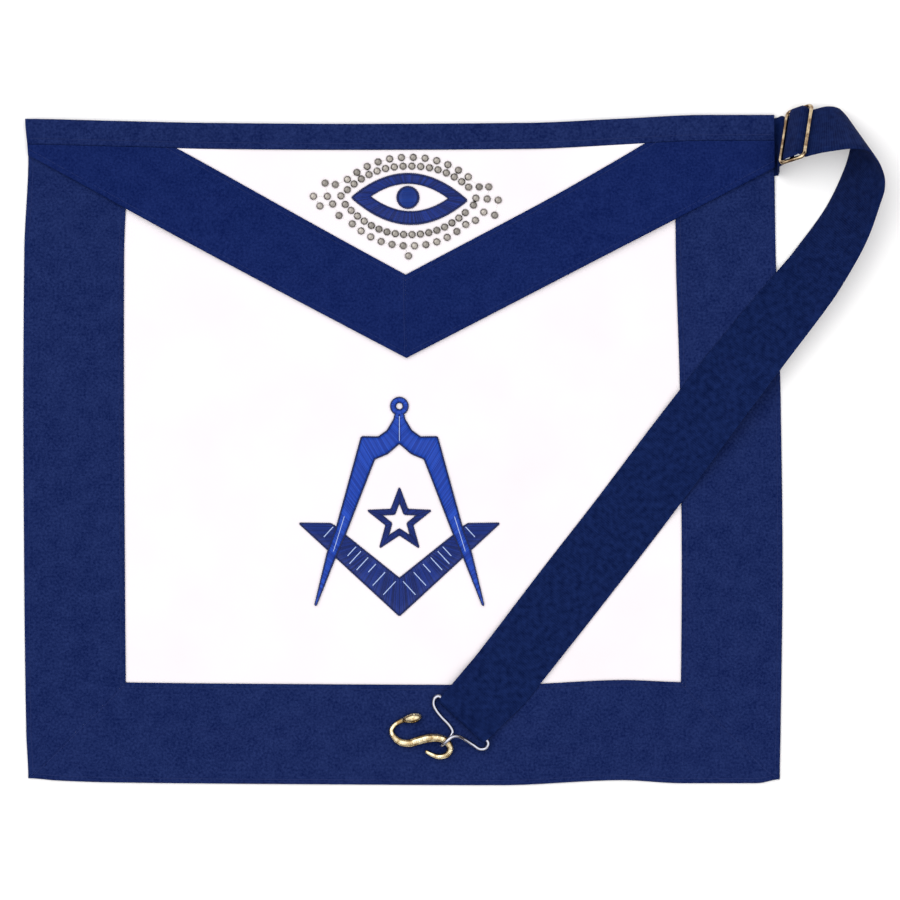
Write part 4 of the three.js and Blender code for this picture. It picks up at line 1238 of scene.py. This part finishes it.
waistband = finish_piece(
    "waistband_ribbon", [waistband_strip()], navy_ribbon, ["waistband"]
)
finish_piece("waistband_stitching", [waist_seam()], navy_thread)

# Strap
# Navy webbing 37.5 mm wide. It comes out from under the right end of the waistband, passes over
# the slider's middle bar, turns over in a loose roll, and lies across the apron to its hemmed end.
STRAP_WIDTH = 37.5
WEBBING = 1.2
HEM_LENGTH = 14
HEM_RUN = 30
SLIDER_WIRE = 2.2
SLIDER_PITCH = 7.4
RING_WIRE = 2.0
ON_FLOOR = WEBBING / 2 + CLEARANCE / 3
ON_BORDER = BORDER_TOP + CLEARANCE + WEBBING / 2
ON_PANEL = LEATHER + CLEARANCE + WEBBING / 2
SLIDER_HUMP = SLIDER_WIRE / 2 + WEBBING / 2 + 3 * CLEARANCE
ON_SLIDER = SLIDER_WIRE * 1.6
SLIDER_ROW = 3
HUMP_FLAT = 0.42
HUMP_FOOT = 0.95
SLIDER_BULGE = 2.2
STRAP_COLUMNS = ("x", "y", "aim", "rise", "reach", "seat")
STRAP_ROWS = [
    (0.47, 0.4608, -90, 0, 0.83, WEBBING / 2),
    (0.4945, 0.4608, -90, 0, 0.83, WEBBING / 2),
    (0.5035, 0.4665, -100, 46, 1.0, ON_SLIDER * 0.2),
    (0.5222, 0.4739, -100, 46, 1.0, ON_SLIDER),
    (0.5415, 0.4816, -100, 46, 1.0, ON_SLIDER * 1.8),
    (0.5608, 0.4864, -91, 48.5, 1.0, ON_SLIDER * 1.75),
    (0.5842, 0.4876, -73, 51.5, 1.0, ON_SLIDER * 1.3),
    (0.5994, 0.4816, -58, 50, 1.04, ON_SLIDER * 0.9),
    (0.6114, 0.4607, -56, 45, 1.115, ON_SLIDER * 0.5),
    (0.6151, 0.438, -57, 43, 1.14, ON_FLOOR),
    (0.608, 0.403, -50, 46, 1.06, ON_FLOOR),
    (0.586, 0.3429, -43, 41.5, 1.01, ON_FLOOR),
    (0.5509, 0.2802, -39, 33.5, 1.0, ON_BORDER * 0.72),
    (0.5271, 0.244, -38.5, 28.5, 1.0, ON_BORDER),
    (0.4791, 0.1751, -38.5, 22.5, 1.0, ON_BORDER),
    (0.4039, 0.0654, -38.8, 13.5, 1.0, ON_BORDER),
    (0.3, -0.0925, -38.8, 0, 1.0, ON_PANEL),
    (0.229, -0.1967, -38.8, 0, 1.0, ON_PANEL),
    (0.1307, -0.3411, -43, 0, 0.98, ON_BORDER),
]
strap_table = [dict(zip(STRAP_COLUMNS, row)) for row in STRAP_ROWS]
LAST_ROW = len(strap_table) - 1
HEM_REACH = 0.9


def curve_point(points, place):
    """The point of a smooth curve through the points, at a place counted in points."""
    count = len(points)
    n = min(max(math.floor(place), 0), count - 2)
    part = place - n

    def take(index):
        if index < 0:
            return points[0] * 2 - points[1]
        if index >= count:
            return points[-1] * 2 - points[-2]
        return points[index]

    a, b, c, d = (take(n + k) for k in (-1, 0, 1, 2))
    return (
        b
        + (c - a) * (0.5 * part)
        + (a * 2 - b * 5 + c * 4 - d) * (0.5 * part**2)
        + (b * 3 - a - c * 3 + d) * (0.5 * part**3)
    )


strap_plan = [Vector((row["x"] * APRON_WIDTH, row["y"] * APRON_HEIGHT, 0)) for row in strap_table]


def strap_line(place):
    aim = math.radians(read_table(strap_table, "aim", place))
    rise = math.radians(read_table(strap_table, "rise", place))
    direction = Vector(
        (math.cos(aim) * math.cos(rise), math.sin(aim) * math.cos(rise), math.sin(rise))
    )
    return direction, read_table(strap_table, "reach", place) * STRAP_WIDTH


def strap_middle(place):
    direction, length = strap_line(place)
    middle = curve_point(strap_plan, place)
    middle.z = read_table(strap_table, "seat", place) + direction.z * length / 2
    return middle


slider_across, _ = strap_line(SLIDER_ROW)
slider_along = (strap_middle(SLIDER_ROW + 0.3) - strap_middle(SLIDER_ROW - 0.3)).normalized()
slider_along = (slider_along - slider_across * slider_along.dot(slider_across)).normalized()
slider_up = -slider_along.cross(slider_across)
slider_middle = strap_middle(SLIDER_ROW)


def slider_lift(place, point):
    far = (point - slider_middle).dot(slider_along)
    if abs(place - SLIDER_ROW) > 1.5 or abs(far) >= SLIDER_PITCH:
        return 0
    return 2 * SLIDER_HUMP * (1 - smooth_step(abs(far) / SLIDER_PITCH, HUMP_FLAT, HUMP_FOOT))


last_middle = strap_middle(LAST_ROW)
end_across, _ = strap_line(LAST_ROW)
end_ahead = -Vector((0, 0, 1)).cross(end_across)
HEM_LAYER = WEBBING + CLEARANCE
BAR_HEIGHT = ON_BORDER + WEBBING / 2 + CLEARANCE + RING_WIRE / 2
HEM_RADIUS = BAR_HEIGHT - ON_BORDER
HEM_BACK = HEM_RUN - HEM_LENGTH
HEM_TOP = ON_BORDER + HEM_LAYER


def bezier(a, b, c, d, steps=24):
    spots = []
    for n in range(steps):
        t = n / steps
        weights = ((1 - t) ** 3, 3 * t * (1 - t) ** 2, 3 * t * t * (1 - t), t**3)
        spots.append(
            tuple(sum(w * p[axis] for w, p in zip(weights, (a, b, c, d))) for axis in (0, 1))
        )
    return spots


hem_line = bezier(
    (0, ON_BORDER),
    (HEM_BACK * 0.4, ON_BORDER),
    (HEM_BACK * 0.45, HEM_TOP),
    (HEM_BACK * 0.85, HEM_TOP),
)
hem_line += bezier(
    (HEM_BACK + HEM_LENGTH * 0.3, HEM_TOP),
    (HEM_RUN - HEM_LENGTH * 0.4, HEM_TOP),
    (HEM_RUN - HEM_LENGTH * 0.3, BAR_HEIGHT + HEM_RADIUS),
    (HEM_RUN, BAR_HEIGHT + HEM_RADIUS),
)
for step in range(17):
    turn = math.pi / 2 - math.pi * step / 16
    round_bar = (HEM_RADIUS * math.cos(turn), HEM_RADIUS * math.sin(turn))
    hem_line.append((HEM_RUN + round_bar[0], BAR_HEIGHT + round_bar[1]))
hem_line.append((HEM_BACK, ON_BORDER))
hem_read, _ = rails(hem_line, hem_line)


def strap_point(place, across):
    if place <= LAST_ROW:
        direction, length = strap_line(place)
        point = strap_middle(place)
        lift = slider_lift(place, point)
        bulge = SLIDER_BULGE * smooth_step(lift / (2 * SLIDER_HUMP), 0.7, 1) * max(across, 0) * 2
        return point + slider_up * lift + direction * (across * length + bulge)
    hem = hem_read(min(place - LAST_ROW, 1))[0]
    width = mix(strap_table[LAST_ROW]["reach"], HEM_REACH, hem.x / HEM_RUN) * STRAP_WIDTH
    point = last_middle + end_ahead * hem.x + end_across * (across * width)
    point.z = hem.y
    return point


strap_places = []
for row in range(LAST_ROW):
    span = (strap_middle(row + 1) - strap_middle(row)).length
    pieces = max(round(span / 1.1), 4)
    strap_places += [row + n / pieces for n in range(pieces)]
strap_places += [LAST_ROW + n / 90 for n in range(91)]
strap_sections = len(strap_places) - 1
strap_travel = [0.0]
for n in range(1, strap_sections + 1):
    ahead = strap_point(strap_places[n], 0) - strap_point(strap_places[n - 1], 0)
    strap_travel.append(strap_travel[-1] + ahead.length)


def strap_loop(count=18):
    """The closed section of the webbing, as (across, side): flat faces and rounded selvedges."""
    loop = []
    for side in (1, -1):
        for n in range(count + 1):
            across = side * mix(-0.5, 0.5, n / count)
            edge = min(0.5 - abs(across), 0.03) / 0.03
            loop.append((across, side * 0.5 * math.sqrt(max(1 - (1 - edge) ** 2, 0.06))))
    return loop


def make_strap():
    section = strap_loop()
    count = len(section)
    normals = []
    for place in strap_places:
        row = []
        for across in (-0.5, -0.25, 0, 0.25, 0.5):
            before = strap_point(max(place - 0.004, 0), across)
            after = strap_point(min(place + 0.004, LAST_ROW + 1), across)
            over = strap_point(place, 0.5) - strap_point(place, -0.5)
            row.append((after - before).cross(over).normalized())
        normals.append(row)

    def place_at(u, v):
        number = round(v * strap_sections)
        across, side = section[round(u * count) % count]
        place = strap_places[number]
        row = normals[number]
        part = (across + 0.5) * 4
        low = min(int(part), 3)
        normal = row[low].lerp(row[low + 1], part - low).normalized()
        point = strap_point(place, across)
        travel = strap_travel[number]
        swell = 0.12 * ripple(across * STRAP_WIDTH, travel, 22, 23)
        return (point + normal * (side * WEBBING + swell)) * MM

    def chart_at(u, v):
        across = section[round(u * count) % count][0]
        return across * STRAP_WIDTH * MM, strap_travel[round(v * strap_sections)] * MM

    shell = mapped_grid(count, strap_sections, place_at, chart_at=chart_at)
    close_ends(shell)
    return shell


# Polyester webbing in plain weave: cross ribs about 1 mm apart, matt, with a bound selvedge.
navy_webbing, tree, shader = navy_cloth("navy_polyester_webbing")
coords = add_node(tree, "ShaderNodeTexCoord")
ribs = woven_bands(tree, coords, "Y", 0.0011, Distortion=0.6)
yarns = woven_bands(tree, coords, "X", 0.0007, Distortion=0.4)
fuzz = noise_at(tree, coords.outputs["Object"], 0.003, 4.0)
weave = add_node(tree, "ShaderNodeMath", {"operation": "MULTIPLY"}, _0=ribs, _1=yarns).outputs[0]
lit = times_plus(tree, weave, 0.35, fuzz)
spread = add_node(tree, "ShaderNodeMapRange", Value=lit, From_Min=0.3, From_Max=0.9)
blend_colours(tree, spread.outputs[0], "#000d35", "#132557", shader.inputs["Base Color"])
emboss(tree, shader, weave, 0.5, 0.00025)

strap_webbing = finish_piece(
    "strap_webbing", [make_strap()], navy_webbing, ["strap"]
)

# Slider
# A frame of round wire with a middle bar, bent and brazed, then plated pale gold. The webbing runs
# under its two outer bars and over the middle one.
SLIDER_PLAY = 0.55


def rubbed_polish(tree, shader, reach, detail):
    """Polish that handling has dulled in patches. Gives the patches."""
    rub = noise_at(tree, object_place(tree), reach, detail)
    gloss = add_node(tree, "ShaderNodeMapRange", Value=rub, To_Min=0.06, To_Max=0.2)
    tree.links.new(gloss.outputs[0], shader.inputs["Roughness"])
    return rub


# Pale gold plate over polished metal: a clean mirror with a warm, light tint, slightly rubbed. Its
# colour goes lighter and darker in patches a few millimetres wide: painted reflections of bright
# and dark surroundings, and partly wear and tarnish. The slider's plate is darker and browner than
# the hook's.
def gold_plate(name, deep, bright):
    material, tree, shader = new_material(name, Metallic=1.0)
    rub = rubbed_polish(tree, shader, 0.004, 5.0)
    # Painted reflection and wear: the rubbed patches set the plate's colour between its deep and
    # bright tint.
    painted_reflection_and_wear = add_node(tree, "ShaderNodeMapRange", Value=rub, From_Min=0.38, From_Max=0.6)
    blend_colours(tree, painted_reflection_and_wear.outputs[0], deep, bright, shader.inputs["Base Color"])
    return material


duller_gold = gold_plate("duller_pale_gold_plate", "#7f664e", "#c8b595")
pale_gold = gold_plate("polished_pale_gold_plate", "#8c744c", "#e6dab8")

slider_half = STRAP_WIDTH / 2 + SLIDER_PLAY + SLIDER_WIRE / 2
slider_corner = SLIDER_WIRE * 1.1
slider_centre = slider_middle + slider_up * SLIDER_HUMP


def slider_spot(x, y):
    return (slider_centre + slider_along * x - slider_across * y) * MM


slider_round = []
for x, y in ((1, 1), (-1, 1), (-1, -1), (1, -1)):
    corner = []
    for n in range(5):
        turn = math.pi / 2 * n / 4
        near_x = SLIDER_PITCH - slider_corner * (1 - math.cos(turn))
        near_y = slider_half - slider_corner * (1 - math.sin(turn))
        corner.append(slider_spot(x * near_x, y * near_y))
    slider_round += corner if x * y > 0 else corner[::-1]
slider_round.append(slider_round[0])
slider_read, _ = rails(slider_round, slider_round)
slider_radius = SLIDER_WIRE / 2 * MM
slider_wire = tube(lambda share: slider_read(share)[0], slider_radius, 14, 160, closed=True)
bar_ends = (slider_spot(0, -slider_half), slider_spot(0, slider_half))
slider_bar = tube(lambda share: bar_ends[0].lerp(bar_ends[1], share), slider_radius, 14, 24)
finish_piece("slider_wire", [slider_wire, slider_bar], duller_gold, ["strap_slider"])

# Ring
# Bent wire, nickel plated: a wide bar that lies in the strap's sewn loop, two short sides, and a
# narrow nose that carries the hook.
RING_WIDTH = 37.2
RING_REACH = 18.4
RING_BAR = 0.24
RING_POINTS = [
    (-0.4, 0, RING_BAR),
    (0, 0, RING_BAR),
    (0.4, 0, RING_BAR),
    (0.487, 0.01, RING_BAR),
    (0.518, 0.09, 0.2),
    (0.52, 0.21, 0.13),
    (0.465, 0.325, 0.1),
    (0.353, 0.365, 0.17),
    (0.204, 0.42, 0.48),
    (0.105, 0.485, 0.84),
    (0.055, 0.61, 1),
    (0.04, 0.8, 1),
    (0.032, 0.95, 0.8),
    (0.03, 1, 0.5),
    (0.03, 0.95, 0.2),
    (0.035, 0.8, 0),
    (0.035, 0.61, 0),
    (0.005, 0.485, 0),
    (-0.091, 0.42, 0),
    (-0.255, 0.4, 0.02),
    (-0.376, 0.36, 0.06),
    (-0.465, 0.28, 0.1),
    (-0.508, 0.14, 0.18),
    (-0.487, 0.01, RING_BAR),
]

# Nickel plate over polished steel wire: a cool bright mirror.
nickel, tree, shader = new_material(
    "polished_nickel_plate", Metallic=1.0, Base_Color=linear("#a6a8b4")
)
rubbed_polish(tree, shader, 0.003, 4.0)

HOOK_LENGTH = 34
RING_LOW = BORDER_TOP + CLEARANCE + RING_WIRE / 2
HOOK_RIM = HOOK_LENGTH * 0.116
RING_HIGH = RING_LOW + HOOK_RIM + 2 * CLEARANCE + RING_WIRE
ring_place = last_middle + end_ahead * HEM_RUN
ring_points = []
for across, ahead, height in RING_POINTS:
    spot = ring_place + end_across * (across * RING_WIDTH) + end_ahead * (ahead * RING_REACH)
    spot.z = BAR_HEIGHT if height == RING_BAR else mix(RING_LOW, RING_HIGH, height)
    ring_points.append(spot * MM)


def ring_route(share):
    """A closed curve through the ring's points that keeps its shape where they lie close."""
    count = len(ring_points)
    n = math.floor(share * count)
    part = share * count - n
    a, b, c, d = (ring_points[(n + k) % count] for k in (-1, 0, 1, 2))
    before, middle, after = ((two - one).length ** 0.5 for one, two in ((a, b), (b, c), (c, d)))
    leave = ((b - a) / before - (c - a) / (before + middle) + (c - b) / middle) * middle
    arrive = ((c - b) / middle - (d - b) / (middle + after) + (d - c) / after) * middle
    square = part * part
    cube = square * part
    return (
        b * (2 * cube - 3 * square + 1)
        + leave * (cube - 2 * square + part)
        + c * (3 * square - 2 * cube)
        + arrive * (cube - square)
    )


ring_wire = tube(ring_route, RING_WIRE / 2 * MM, 12, 200, closed=True)
finish_piece("ring_wire", [ring_wire], nickel, ["strap_ring"])

# Serpent hook
# A cast hook in the shape of a snake bent into an S, plated pale gold. Its head closes the upper
# bend and its tail curls into an eye that hangs on the ring's nose.
HOOK_FROM_RING = 1.3
HOOK_ROWS = [
    {"x": -0.295, "y": 0.456, "radius": 0.02, "lift": 0},
    {"x": -0.305, "y": 0.455, "radius": 0.055, "lift": 0},
    {"x": -0.34, "y": 0.449, "radius": 0.075, "lift": 0},
    {"x": -0.407, "y": 0.436, "radius": 0.085, "lift": 0},
    {"x": -0.49, "y": 0.422, "radius": 0.07, "lift": 0},
    {"x": -0.58, "y": 0.395, "radius": 0.042, "lift": 0},
    {"x": -0.681, "y": 0.338, "radius": 0.038, "lift": 0},
    {"x": -0.744, "y": 0.25, "radius": 0.042, "lift": 0},
    {"x": -0.713, "y": 0.149, "radius": 0.048, "lift": 0},
    {"x": -0.612, "y": 0.06, "radius": 0.058, "lift": 0},
    {"x": -0.47, "y": 0.038, "radius": 0.066, "lift": 0.05},
    {"x": -0.327, "y": 0.079, "radius": 0.07, "lift": 0.2},
    {"x": -0.185, "y": 0.117, "radius": 0.07, "lift": 0.5},
    {"x": -0.043, "y": 0.128, "radius": 0.066, "lift": 0.85},
    {"x": 0.084, "y": 0.098, "radius": 0.06, "lift": 1},
    {"x": 0.163, "y": 0.024, "radius": 0.055, "lift": 1},
    {"x": 0.183, "y": -0.065, "radius": 0.052, "lift": 0.8},
    {"x": 0.123, "y": -0.147, "radius": 0.048, "lift": 0.45},
    {"x": 0, "y": -0.172, "radius": 0.044, "lift": 0.18},
    {"x": -0.114, "y": -0.136, "radius": 0.038, "lift": 0.05},
    {"x": -0.185, "y": -0.098, "radius": 0.033, "lift": 0},
    {"x": -0.203, "y": -0.088, "radius": 0.018, "lift": 0},
]
hook_place = ring_place + end_ahead * (RING_REACH + HOOK_FROM_RING)
hook_points = []
for row in HOOK_ROWS:
    spot = hook_place + Vector((row["x"], row["y"], 0)) * HOOK_LENGTH
    over_ring = row["lift"] * (RING_WIRE + CLEARANCE)
    spot.z = BORDER_TOP + CLEARANCE + row["radius"] * HOOK_LENGTH + over_ring
    hook_points.append(spot * MM)
hook_last = len(HOOK_ROWS) - 1
MOUTH_ROWS = 3.4
MOUTH_DEPTH = 0.2
MOUTH_REACH = 0.15
NECK_ROWS = 5.0
SCALE_ROWS = 46
SCALES_ROUND = 6
SCALE_DEPTH = 0.07
SNAKE_EYE = {"row": 2.6, "aside": 0.68, "up": 0.66, "radius": 0.24}


def hook_route(share):
    return curve_point(hook_points, share * hook_last)


def hook_radius(share):
    return read_table(HOOK_ROWS, "radius", share * hook_last) * HOOK_LENGTH * MM


def snake_relief(share, turn):
    """The slit of the mouth along both sides of the head, and low scales from the neck down."""
    row = share * hook_last
    flank = abs(math.sin(turn))
    if row < MOUTH_ROWS:
        return 1 - MOUTH_DEPTH * max(0.0, 1 - flank / MOUTH_REACH)
    along = 2 * math.pi * SCALE_ROWS * share
    round_it = SCALES_ROUND * turn
    scale = math.cos(round_it + along) * math.cos(round_it - along)
    return 1 + SCALE_DEPTH * scale * smooth_step(row, NECK_ROWS - 1, NECK_ROWS)


def snake_eyes():
    """Two round eyes on the upper sides of the head."""
    share = SNAKE_EYE["row"] / hook_last
    ahead = (hook_route(share + 0.01) - hook_route(share)).normalized()
    aside = ahead.cross(Vector((0, 0, 1))).normalized()
    head = hook_radius(share)
    size = head * SNAKE_EYE["radius"]
    eyes = bmesh.new()
    for sign in (-1, 1):
        spot = hook_route(share) + aside * (sign * head * SNAKE_EYE["aside"])
        spot.z += head * SNAKE_EYE["up"]
        place = Matrix.Translation(spot)
        bmesh.ops.create_uvsphere(eyes, u_segments=14, v_segments=10, radius=size, matrix=place)
    return eyes


hook_body = tube(hook_route, hook_radius, 36, 380, relief=snake_relief)
hook_parts = [hook_body, snake_eyes()]
finish_piece("serpent_hook_cast", hook_parts, pale_gold, ["serpent_hook"])

# Table, light and camera
# A plain white table top under soft, nearly even studio light from above and the upper left. The
# camera stands high over the apron and looks straight down.
floor_shell = bmesh.new()
bmesh.ops.create_grid(floor_shell, x_segments=1, y_segments=1, size=4.0)
floor_mesh = bpy.data.meshes.new("table_top")
floor_shell.to_mesh(floor_mesh)
floor_shell.free()
table_top = bpy.data.objects.new("table_top", floor_mesh)
bpy.context.scene.collection.objects.link(table_top)
white_table, tree, shader = new_material(
    "white_table", Base_Color=linear("#fcfcfc"), Roughness=0.9
)
floor_mesh.materials.append(white_table)

world = bpy.data.worlds.new("studio")
world.use_nodes = True
bpy.context.scene.world = world
sky = world.node_tree
background = sky.nodes["Background"]
way = add_node(sky, "ShaderNodeTexCoord").outputs["Generated"]
up = add_node(sky, "ShaderNodeSeparateXYZ", Vector=way).outputs["Z"]
height = add_node(sky, "ShaderNodeMapRange", Value=up, From_Min=0.4, From_Max=0.93)
blend_colours(sky, height.outputs[0], "#4a403c", "#ffffff", background.inputs["Color"])
background.inputs["Strength"].default_value = 1.95

LIGHTS = [
    {"name": "key", "at": (-0.75, 0.6, 1.5), "size": 1.5, "power": 7},
    {"name": "fill", "at": (1.0, -0.6, 1.5), "size": 1.5, "power": 2.5},
]
for row in LIGHTS:
    lamp = bpy.data.lights.new(row["name"], "AREA")
    lamp.shape = "SQUARE"
    lamp.size = row["size"]
    lamp.energy = row["power"]
    holder = bpy.data.objects.new(row["name"], lamp)
    holder.location = row["at"]
    holder.rotation_euler = (-Vector(row["at"])).to_track_quat("-Z", "Y").to_euler()
    bpy.context.scene.collection.objects.link(holder)

CAMERA_HEIGHT = 8.0
VIEW_WIDTH = 0.4838
SENSOR_WIDTH = 36
VIEW_MIDDLE = (0.0253, 0.0011)
lens = bpy.data.cameras.new("camera")
lens.sensor_width = SENSOR_WIDTH
lens.lens = SENSOR_WIDTH * CAMERA_HEIGHT / VIEW_WIDTH
lens.clip_end = 20
camera = bpy.data.objects.new("camera", lens)
camera.location = (*VIEW_MIDDLE, CAMERA_HEIGHT)
bpy.context.scene.collection.objects.link(camera)
bpy.context.scene.camera = camera
bpy.context.scene.view_settings.view_transform = "Standard"
